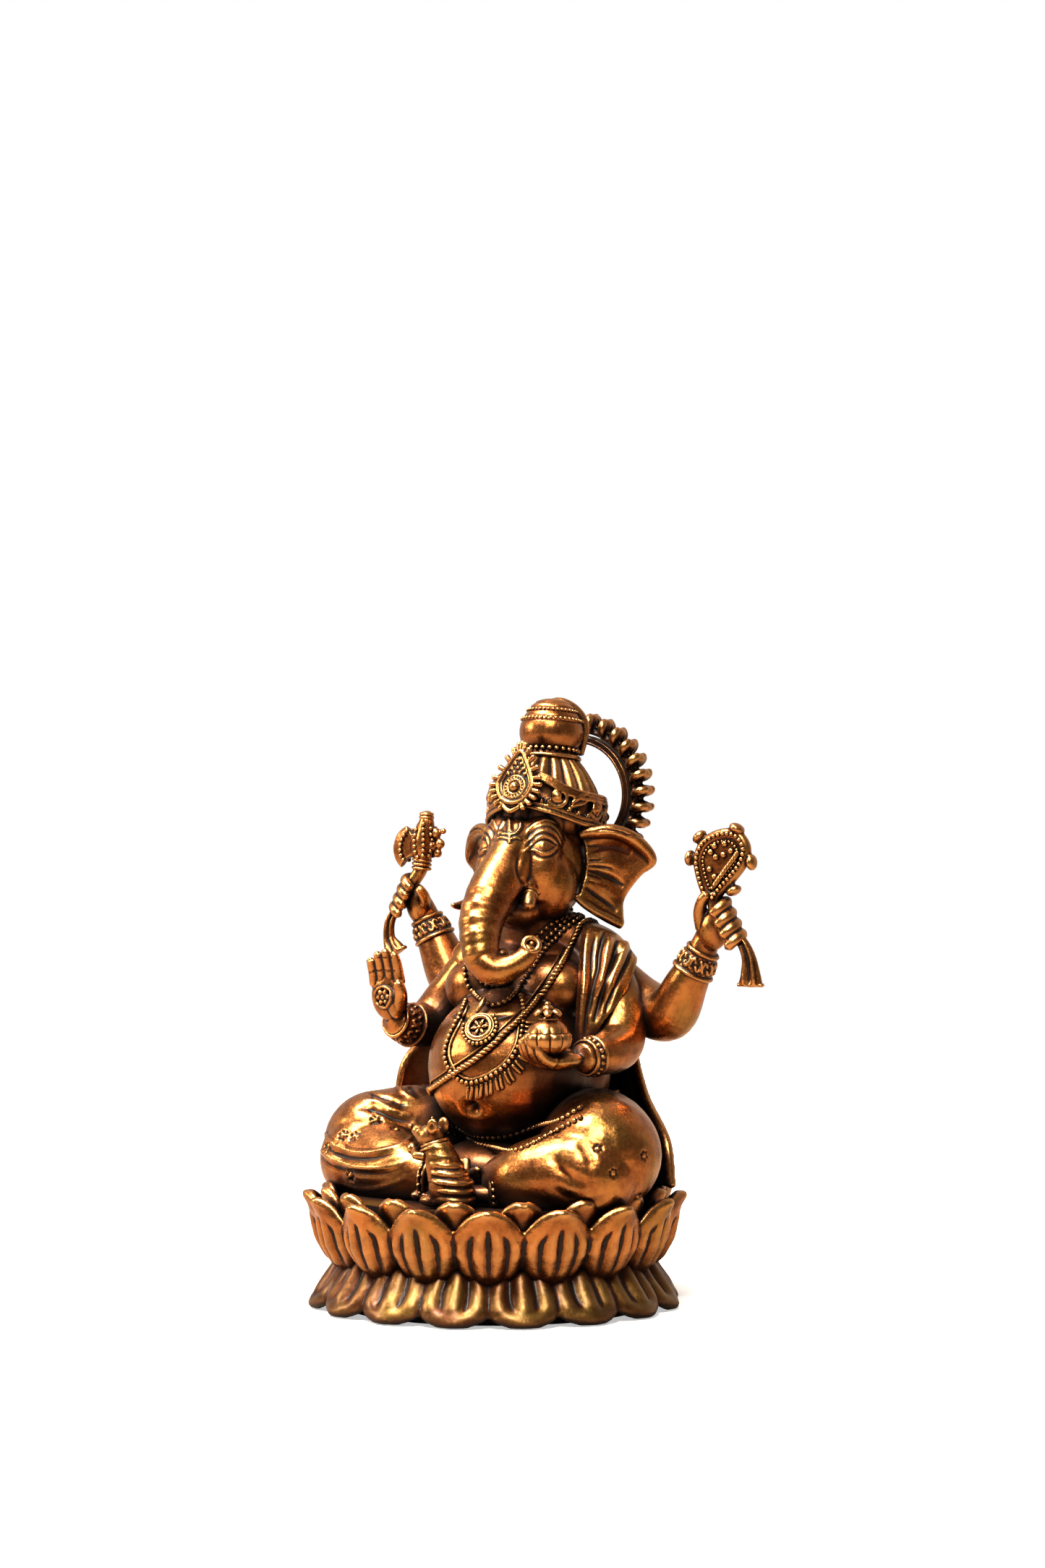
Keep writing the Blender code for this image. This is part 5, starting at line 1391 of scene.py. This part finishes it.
def make_noose():
    """A pear-shaped loop with a double beaded rim, a lattice inside and mushroom studs outside."""
    depth = 12.4
    outline = [(34.9, 67.0), (33.9, 70.0), (33.4, 73.2), (34.4, 75.8), (36.6, 77.2), (39.2, 77.3),
               (40.7, 75.4), (40.4, 73.0), (38.8, 70.6), (36.9, 68.4), (35.9, 66.9)]
    loop = route(outline, 4)
    centre = loop.mean(0)
    points = [seen_at(a, b, depth) for a, b in loop]
    fill = []
    for a, b in loop:
        fill.append([seen_at(centre[0] + (a - centre[0]) * t, centre[1] + (b - centre[1]) * t,
                             depth) for t in np.linspace(0.04, 0.95, 5)])
    parts = [slab(np.array(fill), 1.2), tube([(*p, 0.95) for p in points], 16, 1),
             tube([(*points[0], 0.95), (*points[-1], 0.95)], 16)]
    staff = [(*seen_at(37.6, 60.4, 12.2), 0.9), (*seen_at(36.0, 65.0, 12.2), 1.1),
             (*seen_at(35.6, 67.6, 12.4), 1.2)]
    parts.append(tube(staff, 16))
    for across, up in ((33.5, 76.9), (32.0, 73.4), (39.4, 78.3), (41.7, 72.8), (38.9, 68.2)):
        at = seen_at(across, up, depth)
        inward = unit(seen_at(*centre, depth) - at)
        parts.append(turned(ball((0, 0, 0), (1.35, 1.35, 0.8)), standing(inward, (0, 1, 0), at)))
        parts.append(tube([(*at, 0.55), (*(at + inward * 1.6), 0.6)], 12))
    body = Clay(merged(*parts), 0.2, 3)
    skin = body.surface()
    details = []
    for front in (-1, 1):
        for grow, size, step in ((1.0, 0.42, 0.85), (0.74, 0.3, 0.66)):
            ring = [seen_at(centre[0] + (a - centre[0]) * grow, centre[1] + (b - centre[1]) * grow,
                            depth) + [0, front * 0.7, 0] for a, b in loop]
            places, _ = evenly(ring, step)
            places, normals = resting(skin, places, 0.08)
            details.append(beads(places, size, normals))
        strap = ((36.0, 68.6), (38.0, 71.6), (40.0, 74.4))
        band = [seen_at(a, b, depth) + [0, front * 0.9, 0] for a, b in strap]
        details.append(tube([(*p, 0.5) for p in band], 10, 4))
        places, _ = evenly(band, 0.7)
        details.append(beads(places + [0, front * 0.4, 0], 0.3))
        for across, up in ((36.2, 75.4), (37.8, 75.8), (38.8, 74.6), (36.4, 73.6), (35.6, 74.4),
                           (37.6, 74.0), (35.4, 71.6), (36.2, 70.4)):
            details.append(ball(seen_at(across, up, depth) + [0, front * 0.75, 0], (0.55, 0.5, 0.55)))
    finish_piece("noose", merged(body.shape(), *details))
    ribbon("noose_tail", [(*seen_at(38.6, 61.6, 12.0), 0.9), (*seen_at(40.2, 59.8, 12.0), 1.05),
                                 (*seen_at(41.2, 57.4, 12.0), 1.3),
                                 (*seen_at(41.5, 54.6, 12.0), 1.8), (*seen_at(41.5, 52.8, 12.0), 2.25)])


def make_bowl():
    """A ribbed round bowl of sweets, a flower-shaped knob heaped on it."""
    at = np.array(Matrix.Translation((15.4, -9.4, 42.0)))

    def ribs(angle, height):
        depth = np.interp(height, [0, 1, 3.4, 4.4], [0, 0.5, 0.5, 0])
        return depth * (abs(math.cos(5 * angle)) ** 0.6 - 0.7)

    profile = [(0, 0), (1.4, 0), (1.7, 0.3), (2.6, 0.7), (3.5, 1.5), (3.8, 2.5), (3.7, 3.3)]
    lower = lathe([*profile, (3.4, 3.6), (0, 3.6)], 160, at, ribs)
    finish_piece("sweets_bowl", lower, 60)
    upper = lathe([(0, 3.7), (3.3, 3.7), (3.1, 4.4), (2.5, 5.1), (1.7, 5.6), (1.2, 5.9), (1.2, 6.1),
                   (0, 6.2)], 120, at, ribs)
    parts = [upper, turned(ring_at((0, 0, 5.9), (0, 0, 1), 1.3, 0.35), at)]
    for k in range(6):
        a = 2 * math.pi * k / 6
        out = np.array([math.cos(a), math.sin(a), 0])
        petal_path = [(*(out * 0.5 + UP * 6.6), 0.5), (*(out * 1.5 + UP * 7.0), 0.75),
                      (*(out * 2.3 + UP * 6.5), 0.5)]
        parts.append(turned(tube(petal_path, 12, 4, flat=0.7, facing=(0, 0, 1)), at))
    parts.append(turned(ball((0, 0, 7.4), (0.95, 0.95, 0.8)), at))
    parts.append(turned(ball((0, 0, 8.2), (0.5, 0.5, 0.5)), at))
    finish_piece("sweets", merged(*parts), 40)


# ---------------------------------------------------------------- cloth, jewellery, feet and mouse


def make_stole():
    """The stole over the left shoulder, in rows from behind the shoulder down to the belly."""
    rows = [
        [(6.0, 19.5, 60.5), (8.5, 20.8, 59.8), (11.5, 21.2, 57.6), (14.0, 20.6, 53.6)],
        [(7.5, 16.0, 62.0), (10.2, 16.8, 61.4), (13.6, 17.2, 59.6), (16.6, 17.0, 56.2)],
        [(10.0, 12.0, 60.8), (12.4, 11.6, 60.4), (15.6, 12.6, 58.6), (18.6, 14.0, 55.4)],
        [(11.6, 8.2, 56.0), (14.0, 7.8, 55.8), (16.8, 8.8, 54.2), (18.9, 10.4, 51.6)],
        [(12.7, 5.8, 51.5), (14.4, 5.4, 51.4), (16.4, 6.4, 50.2), (17.9, 7.8, 48.6)],
        [(13.0, 4.8, 46.5), (14.2, 4.4, 46.5), (15.5, 4.9, 46.2), (16.6, 5.8, 45.6)],
        [(13.2, 4.4, 42.0), (13.9, 4.0, 42.0), (14.7, 4.2, 41.9), (15.4, 4.8, 41.6)],
    ]
    stole = Clay(slab(smooth_grid(rows, 7), 1.5), 0.24, 4)
    skin = stole.surface()
    folds = [([(15.4, 61.6), (15.0, 57.0), (14.7, 52.0), (14.3, 47.0), (14.1, 43.0)], 0.5, 0.5),
             ([(16.8, 61.0), (16.0, 57.6), (15.8, 53.0), (14.9, 48.0), (14.6, 44.0)], 0.55, -0.6),
             ([(18.3, 61.2), (17.3, 58.0), (17.0, 55.3), (15.9, 51.5), (15.4, 47.6)], 0.5, -0.9),
             ([(19.2, 60.4), (18.5, 57.6), (17.6, 53.8), (17.0, 50.8)], 0.9, 0.7),
             ([(20.4, 59.6), (19.7, 57.0), (18.0, 53.4), (17.5, 50.4), (16.2, 46.4)], 0.55, -1.0),
             ([(21.8, 59.4), (20.8, 56.8), (19.6, 54.4), (18.0, 50.0)], 0.9, 0.7),
             ([(22.6, 58.0), (21.6, 55.6), (19.6, 52.0), (18.0, 47.8)], 0.4, -0.7)]
    draw_folds(stole, skin, folds, 0.2)
    for x in (8.0, 11.0, 14.0):
        line, _ = resting(skin, [(x, 24, 59.5), (x + 1.2, 22, 56.0)], 0)
        stole.ridge(line, 0.6, -0.7, 0.2)
    stole.refresh()
    finish_piece("shoulder_stole", stole.shape())


def make_shawl():
    """The shawl down the back, which hangs in folds and spreads on the seat."""
    rows = [
        [(-12, 21.5, 59), (-5, 24.2, 60), (3, 24.6, 60), (10, 23.4, 59)],
        [(-15.0, 23.5, 52), (-6, 26.0, 51), (5, 26.0, 51), (12.5, 24.5, 52)],
        [(-21.6, 17.4, 44), (-7, 25.4, 42), (5, 25.8, 42), (12.5, 24.5, 43)],
        [(-26.2, 13.8, 37.6), (-9, 25.2, 33.5), (7, 25.4, 33), (16.5, 21.5, 34)],
        [(-27.2, 13.6, 28), (-10, 25.0, 25), (10, 25.0, 25), (24.0, 15.0, 27)],
        [(-25.8, 13.8, 19.4), (-10, 23.0, 18.6), (10, 23.0, 18.6), (26.0, 13.2, 19.4)],
    ]
    grid = smooth_grid(rows, 14)
    across, down = grid.shape[:2]
    depth = np.linspace(0.25, 0.95, down)
    for i in range(across):
        share = i / (across - 1)
        sway = 0.5 * np.sin(np.linspace(0, 4.2, down) + 5 * share)
        fade = math.sin(math.pi * share) ** 0.4
        grid[i, :, 1] += depth * fade * np.sin(2 * math.pi * 6.5 * share + sway)
    shawl = Clay(slab(grid, 1.6), 0.34, 3)
    for side in (0, across - 1):
        shawl.ridge(list(grid[side]), 0.6, 0.5, 0.0)
    shawl.refresh()
    finish_piece("back_shawl", shawl.shape())


def make_pleats():
    """The fan of pleats in front of the belly, laid on the seat."""
    pleats = []
    for k in range(7):
        x = -6.8 + 1.65 * k
        pleats.append(tube([(0.3 * x - 1, -8.8, 24.5, 0.7), (0.7 * x - 0.8, -11.5, 20.4, 1.0),
                            (x, -14.4, 18.6, 0.8)], 12, 6,
                           flat=0.8, facing=(0, -0.6, 0.8)))
    fan = Clay(merged(*pleats), 0.25, 1)
    finish_piece("dhoti_pleats", fan.shape())


def bead_string(skin, path, radius, spacing, lift):
    """Beads laid along a path on the skin, with the thread that they hang on."""
    places, _ = evenly(path, spacing)
    places, normals = resting(skin, places, radius * lift)
    thread, _ = evenly(path, 0.6)
    thread, _ = resting(skin, thread, 0.08)
    cord = tube([(*p, radius * 0.3) for p in thread], 8, 1, smooth=False)
    return [beads(places, radius, normals), cord]


def rope(path, radius, strand, turns_per_mm):
    """Two strands twisted round each other along the path."""
    places, ways = evenly(path, 0.22)
    out = []
    for phase in (0.0, math.pi):
        points = []
        for k, (place, way) in enumerate(zip(places, ways)):
            a = phase + k * 0.22 * turns_per_mm * 2 * math.pi
            side = unit(np.cross(way, (0.1, -0.2, 0.95)))
            points.append(place + radius * (side * math.cos(a) + np.cross(way, side) * math.sin(a)))
        out.append(tube([(*p, strand) for p in points], 8, 1, smooth=False))
    return out


def make_short_necklace(torso):
    """Three strings of beads that fall from behind the neck to the chest."""
    neck_lines = [
        [(13.7, 62.7), (11.6, 61.2), (9.5, 59.1), (7.8, 57.2), (6.7, 55.5), (5.1, 53.4), (4.0, 51.7),
         (2.7, 50.2), (0.5, 49.2), (-0.8, 49.3), (-2.5, 50.1), (-3.4, 50.9), (-4.4, 52.3), (-4.9, 54.4)],
        [(12.3, 62.8), (10.8, 61.9), (8.7, 60.0), (7.0, 58.2), (5.8, 56.6), (4.3, 54.8), (3.0, 53.2),
         (1.4, 52.0), (-0.8, 52.0), (-2.4, 53.0), (-3.6, 54.8)],
        [(10.9, 63.0), (9.6, 62.4), (7.8, 60.9), (6.2, 59.2), (5.0, 57.8), (3.6, 56.3), (2.2, 55.0),
         (0.4, 54.4), (-1.4, 54.8), (-2.8, 56.2)],
    ]
    chains = []
    for k, outline in enumerate(neck_lines):
        line, _ = drawn(torso, outline, 3)
        back = [(-7.4 + 0.5 * k, 10.5, 61.5 + 0.5 * k), (-6.6 + 0.4 * k, 16.5, 63.0 + 0.3 * k),
                (0, 20.6 - 0.4 * k, 62.6 + 0.4 * k), (6.4, 17.5, 62.8)]
        path = np.concatenate([line, route([line[-1], *back, line[0]], 6)])
        chains.extend(bead_string(torso, path, 0.48, 1.02, 0.7))
    finish_piece("short_necklace", merged(*chains))


def make_long_necklace(torso):
    """An oval of beads on the belly with a fringe of drops along its left and lower side."""
    oval = [(4.3, 50.6), (4.8, 48.4), (4.6, 46.6), (4.3, 44.4), (3.8, 42.8), (2.7, 40.9), (1.1, 39.3),
            (-0.8, 38.1), (-2.7, 37.3), (-4.2, 37.0), (-5.6, 37.5), (-7.0, 38.8), (-7.8, 40.6),
            (-7.8, 42.3), (-7.2, 44.2), (-6.4, 45.8), (-5.4, 47.7), (-4.6, 49.6)]
    line, _ = drawn(torso, oval, 4)
    shapes = bead_string(torso, line, 0.46, 0.92, 0.6)
    inner, _ = drawn(torso, [(a * 0.9 - 0.15, 43.5 + (b - 43.5) * 0.9) for a, b in oval[2:]], 4)
    inner, _ = resting(torso, inner, 0.12)
    shapes.append(tube([(*p, 0.26) for p in inner], 8, 1, smooth=False))
    root, _ = drawn(torso, [(5.1, 46.6), (4.9, 44.4), (4.4, 42.6), (3.3, 40.6), (1.6, 38.8), (-0.5, 37.5),
                            (-2.5, 36.6), (-4.2, 36.3)], 4)
    outer, _ = drawn(torso, [(6.8, 46.5), (6.5, 44.0), (6.0, 41.9), (4.7, 39.4), (2.6, 37.1), (0.1, 35.6),
                             (-2.2, 34.7), (-4.2, 34.4)], 4)
    start, _ = evenly(root, 0.86)
    end = np.array([outer[int(round(k * (len(outer) - 1) / (len(start) - 1)))] for k in range(len(start))])
    start, _ = resting(torso, start, 0.15)
    end, _ = resting(torso, end, 0.15)
    for a, b in zip(start, end):
        shapes.append(tube([(*a, 0.3), (*(0.5 * (a + b)), 0.34), (*b, 0.4)], 10, 2, blunt=0.9))
    finish_piece("long_necklace", merged(*shapes))


def make_pendant(torso):
    """The round pendant in the oval: a six-spoked wheel in two rings, with dots round it."""
    (centre,), (normal,) = drawn(torso, [(-2.2, 45.7)])
    front = standing(normal, RIGHTWARD, centre + normal * 0.25)
    parts = [ring_at((0, 0, 0.35), (0, 0, 1), 1.95, 0.36, 40),
             ring_at((0, 0, 0.3), (0, 0, 1), 2.4, 0.2, 40)]
    for k in range(6):
        a = math.radians(60 * k)
        parts.append(tube([(0.3 * math.cos(a), 0.3 * math.sin(a), 0.2, 0.22),
                           (1.0 * math.cos(a), 1.0 * math.sin(a), 0.3, 0.34),
                           (1.6 * math.cos(a), 1.6 * math.sin(a), 0.2, 0.2)], 10, 3))
    parts.append(ball((0, 0, 0.3), (0.42, 0.42, 0.4)))
    turns = np.linspace(math.radians(-200), math.radians(35), 17)
    rim = [(2.95 * math.cos(a), 2.95 * math.sin(a), 0.2) for a in turns]
    parts.append(beads(np.array(rim), 0.4))
    parts.append(tube([(-0.6, 3.0, 0.1, 0.3), (0.2, 4.2, 0.1, 0.45), (0.8, 5.4, 0.0, 0.3)], 10))
    parts.append(lathe([(0, -0.25), (2.6, -0.25), (2.6, 0.05), (0, 0.05)], 40))
    finish_piece("pendant", turned(merged(*parts), front), 40)


def make_sacred_thread(torso):
    """The twisted thread from the left shoulder across to the right hip and up the back."""
    thread = [(14.3, 62.0), (12.2, 57.6), (9.6, 53.6), (7.3, 50.3), (5.1, 47.9), (2.4, 45.4),
              (-1.4, 42.0), (-4.1, 40.0), (-6.8, 38.1), (-9.2, 36.2), (-10.8, 34.9)]
    line, _ = drawn(torso, thread, 4)
    line, _ = resting(torso, line, 0.5)
    shapes = rope(line, 0.26, 0.29, 0.6)
    beside, _ = drawn(torso, [(a - 0.75, b + 0.75) for a, b in thread[1:]], 4)
    beside, _ = resting(torso, beside, 0.12)
    shapes.append(tube([(*p, 0.22) for p in beside], 10, 1, smooth=False))
    back = route([line[-1], (-13.6, 4, 34), (-14.2, 12, 38), (-9.0, 22.0, 46), (0, 23.6, 54),
                  (8.0, 20.0, 59.6), line[0]], 6)
    back, _ = resting(torso, back, 0.35)
    shapes.extend(rope(back, 0.26, 0.29, 0.6))
    finish_piece("sacred_thread", merged(*shapes))


def make_waist_belt(lap):
    """Two strings of beads that sag across the lap and close behind the hips."""
    shapes = []
    fronts = ([(13.8, 33.7), (11.4, 32.2), (9.2, 30.9), (6.7, 29.7), (3.0, 28.1), (-0.8, 27.5),
               (-4.0, 27.6), (-6.5, 28.4)],
              [(13.8, 32.4), (11.4, 31.0), (8.9, 29.6), (6.7, 28.5), (4.0, 27.2), (1.3, 26.5),
               (-1.9, 26.4), (-4.6, 26.8)])
    for outline, radius in zip(fronts, (0.55, 0.45)):
        line, _ = drawn(lap, outline, 4)
        for _ in range(6):
            line[1:-1] = 0.25 * line[:-2] + 0.5 * line[1:-1] + 0.25 * line[2:]
        low = outline[0][1] - 33.7
        behind = [(-11.8, 0.0, 29.6 + low), (-14.8, 8.0, 31.5 + low), (-11.0, 21.5, 33.0 + low),
                  (0, 24.4, 33.5 + low), (11.0, 21.5, 33.8 + low), (15.0, 10.0, 34.0 + low)]
        loop = np.concatenate([line, route([line[-1], *behind, line[0]], 6)[1:]])
        places, _ = evenly(loop, 1.08)
        lifted = places + 0.35 * TOWARD * np.clip((4 - places[:, 1:2]) / 8, 0, 1)
        shapes.append(beads(lifted, radius))
        cord, _ = evenly(loop, 0.7)
        shapes.append(tube([(*p, radius * 0.4) for p in cord], 8, 1, smooth=False))
    finish_piece("waist_belt", merged(*shapes))


def make_foot(node, sole, flat, facing, toes_at, apart, toe, shorter, radii):
    """A sole and five toes, set this far apart, each shorter than the one before."""
    parts = [tube(sole, 24, 6, flat=flat, facing=facing)]
    for k in range(5):
        start = np.array(toes_at) + np.array(apart) * (k - 2)
        end = start + np.array(toe) + np.array((shorter * k, 0, 0))
        middle = 0.5 * (start + end)
        stations = [(*at, radius) for at, radius in zip((start, middle, end), radii)]
        parts.append(tube(stations, 12, 3, blunt=0.9))
    finish_piece(node, Clay(merged(*parts), 0.2, 2).shape())


def make_feet():
    """The right foot, crossed on top and tilted, and the left one flat on the seat."""
    make_foot("right_foot", [(-3.6, -10.6, 21.2, 2.6), (0, -11.8, 21.4, 2.5), (3.4, -12.4, 21.8, 2.3)],
              0.75, (0, 0.4, 1), (3.2, -12.4, 21.6), unit((0.35, -0.55, 0.75)), (2.6, -0.6, 0.5), -0.3,
              (0.75, 0.68, 0.62))
    make_foot("left_foot", [(7.5, -13.8, 19.8, 2.2), (3.6, -15.2, 19.6, 2.1), (0.6, -15.8, 19.5, 1.8)],
              0.7, (0, 0, 1), (0.9, -15.8, 19.5), (0.2375, -0.7125, 0), (-2.0, -0.4, 0), 0.25,
              (0.68, 0.62, 0.56))


def make_anklets():
    """Two plain rings with dots between them round each ankle."""
    for name, at, way, radius in (("right_anklet", (-4.6, -10.0, 20.9), (1, -0.2, 0.05), 3.9),
                                  ("left_anklet", (7.4, -12.6, 20.1), (-0.9, -0.45, -0.05), 3.0)):
        way = unit(way)
        side = unit(np.cross(way, (0.1, 0.2, 0.95)))
        here = placed(side, np.cross(way, side), way, at)
        rings = [ring_at((0, 0, z), (0, 0, 1), radius + 0.4, 0.4, 40) for z in (-0.55, 0.35)]
        dots = beads(circle(radius + 0.9, 22, -0.1), 0.42)
        finish_piece(name, turned(merged(*rings, dots), here), 40)


def make_mouse():
    """The mouse that sits up in front of the feet, facing the figure's right."""
    parts = [ball((3.2, -19.2, 21.4), (3.4, 2.9, 4.0), (0, -24, 0)),
             ball((1.0, -19.2, 25.6), (2.4, 2.2, 3.2), (0, -20, 0)),
             ball((-0.6, -19.2, 29.0), (2.3, 1.9, 1.9), (0, 20, 0)),
             tube([(-1.6, -19.2, 29.2, 1.5), (-3.6, -19.2, 30.2, 0.8)], 20)]
    for y in (-17.5, -20.9):
        parts.append(ball((0.8, y, 30.9), (1.0, 0.6, 1.3), (0, 0, 0)))
        parts.append(tube([(-0.6, y, 26.0, 0.8), (-2.4, y, 26.2, 0.7), (-3.4, -19.2, 27.0, 0.6)], 14))
        parts.append(ball((0.2, y - 0.4 * (y + 19.2), 18.9), (2.2, 1.2, 1.0)))
        parts.append(ball((2.6, y * 1.02, 21.0), (2.2, 1.2, 2.6)))
    mouse = Clay(merged(*parts), 0.2, 3)
    for y in (-17.2, -21.2):
        mouse.swell((0.9, y, 31.0), 0.55, -0.35)
        mouse.swell((-2.4, -19.2 + 0.55 * (y + 19.2), 29.9), 0.35, 0.3)
    mouse.refresh()
    extras = [ball((-4.3, -19.2, 30.6), (0.45, 0.5, 0.45)), ball((-3.9, -19.2, 27.0), (1.0, 1.0, 1.0))]
    for y in (-18.4, -20.0):
        extras.append(ball((-2.3, y + 0.5 * (y + 19.2), 29.9), (0.35, 0.3, 0.35)))
    for level, radius in ((27.4, 2.2), (28.0, 2.0)):
        extras.append(ring_at((0.2, -19.2, level), (-0.35, 0, 1), radius, 0.28, 28))
    finish_piece("mouse", merged(mouse.shape(), *extras))


def make_mouse_cloth():
    """The ribbed cloth on the mouse's back: seven arched folds on a curved sheet."""
    ribs = []
    for level in np.linspace(27.6, 19.4, 7):
        middle = np.interp(level, [19.4, 22, 25, 28], [3.4, 3.0, 1.7, 0.4])
        radius = np.interp(level, [19.4, 22, 25, 28], [3.3, 3.5, 2.8, 2.0])
        arch = []
        for t in np.linspace(-2.3, 2.3, 9):
            thick = 0.72 * math.cos(0.45 * t)
            arch.append((middle + radius * math.cos(t), -19.2 + 0.85 * radius * math.sin(t),
                         level - 0.3 * math.cos(t), thick))
        ribs.append(tube(arch, 14, 4))
    sheet = []
    for z in np.linspace(18.8, 28.2, 9):
        middle = np.interp(z, [19, 25, 28.4], [3.4, 1.7, 0.3])
        radius = np.interp(z, [19, 25, 28.4], [3.3, 2.8, 1.9])
        sheet.append([(middle + radius * math.cos(t), -19.2 + 0.85 * radius * math.sin(t), z)
                      for t in np.linspace(-2.3, 2.3, 15)])
    ribs.append(slab(np.array(sheet), 0.9))
    cloth = Clay(merged(*ribs), 0.2, 1)
    finish_piece("mouse_cloth", cloth.shape())


# ---------------------------------------------------------------- studio


def make_floor():
    """A round of white paper, FLOOR_REACH metres in radius."""
    floor = raw_object("Floor", (circle(FLOOR_REACH, 96), [tuple(range(96))]))
    paper, tree, shader = new_finish("white_paper")
    seen = add_node(tree, "ShaderNodeLightPath").outputs["Is Camera Ray"]
    tree.links.new(blend(tree, seen, linear("#a09082"), linear("#ffffff")), shader.inputs["Base Color"])
    shader.inputs["Roughness"].default_value = 0.9
    shader.inputs["Specular IOR Level"].default_value = 0.1
    shader.inputs["Emission Color"].default_value = linear("#ffffff")
    tree.links.new(math_of(tree, "MULTIPLY", seen, 0.5), shader.inputs["Emission Strength"])
    floor.data.materials.append(paper)


def make_world():
    """Soft warm light from all round, stronger from behind the figure than from the front."""
    world = bpy.data.worlds.new("studio")
    bpy.context.scene.world = world
    world.use_nodes = True
    tree = world.node_tree
    sky = tree.nodes["Background"]
    heading = add_node(tree, "ShaderNodeTexCoord").outputs["Generated"]
    facing = add_node(tree, "ShaderNodeVectorMath", {0: heading, 1: tuple(TOWARD)},
                      operation="DOT_PRODUCT").outputs["Value"]
    wall = spread(tree, facing, 0.3, -0.5, 0.16, 0.7)
    seen = add_node(tree, "ShaderNodeLightPath").outputs["Is Camera Ray"]
    tree.links.new(blend(tree, seen, linear("#ffe4d0"), linear("#ffffff")), sky.inputs["Color"])
    strength = add_node(tree, "ShaderNodeMix", {0: seen, 2: wall, 3: 1.0}, data_type="FLOAT").outputs[0]
    tree.links.new(strength, sky.inputs["Strength"])


def make_lights():
    """A key light to the right of the camera, one from above and a weaker one from the left."""
    softbox("key", 0.18, (0.14, -0.36, 0.50), 5.0, "#fff0dc")
    softbox("top", 0.20, (-0.16, -0.16, 0.55), 9.6, "#fff4e6")
    softbox("left", 0.16, (-0.50, -0.28, 0.30), 2.5, "#ffe9cf")


def softbox(name, size, place, power, colour):
    """A square area light that points at the figure's middle."""
    light = bpy.data.lights.new(name, "AREA")
    light.shape = "SQUARE"
    light.size = size
    light.energy = power
    light.color = linear(colour)[:3]
    made = bpy.data.objects.new(name, light)
    bpy.context.scene.collection.objects.link(made)
    made.location = place
    made.rotation_euler = (Vector((0, 0, 0.05)) - Vector(place)).to_track_quat("-Z", "Y").to_euler()


def make_camera():
    """A portrait lens a little to the figure's left and nearly level, held upright."""
    lens = bpy.data.cameras.new("camera")
    lens.lens = CAMERA_LENS
    lens.sensor_width = CAMERA_SENSOR
    made = bpy.data.objects.new("camera", lens)
    bpy.context.scene.collection.objects.link(made)
    turn = Matrix((Vector(RIGHTWARD), Vector(UP), Vector(TOWARD))).transposed()
    at = RIGHTWARD * CAMERA_SHIFT + TOWARD * CAMERA_DISTANCE + UP * CAMERA_HEIGHT
    made.matrix_world = Matrix.Translation(at) @ turn.to_4x4()
    bpy.context.scene.camera = made


def main():
    make_throne()
    torso, belly = make_torso()
    lap = surface_of(merged(belly, make_hips(), make_right_leg(), make_left_leg()))
    make_feet()
    make_anklets()
    make_head()
    make_ears()
    make_tusks()
    make_dome()
    make_knob()
    make_band()
    make_plaque()
    make_halo()
    make_left_front_arm()
    make_right_front_arm()
    make_rear_arms()
    make_bracelets()
    make_axe()
    make_noose()
    make_bowl()
    make_stole()
    make_shawl()
    make_pleats()
    make_short_necklace(torso)
    make_long_necklace(torso)
    make_pendant(torso)
    make_sacred_thread(torso)
    make_waist_belt(lap)
    make_mouse()
    make_mouse_cloth()
    dress_core()
    make_floor()
    make_world()
    make_lights()
    make_camera()


def dress_core():
    """The plain castings and pins that are carried over as they are get their finishes."""
    finishes = {"antique_brass": BRASS, "pin_steel": drawn_steel(), "felt": black_felt()}
    for made in bpy.data.objects:
        if made.type != "MESH":
            continue
        for slot in made.material_slots:
            if slot.material and slot.material.name in finishes:
                # The seat disc and the lotus core take the shaded brass: painted shade behind the petals
                # and under the legs.
                deep = made.name.startswith(("seat_disc", "lotus_core"))
                slot.material = SHADED_BRASS if deep else finishes[slot.material.name]


main()
bpy.context.scene.view_settings.view_transform = "Standard"
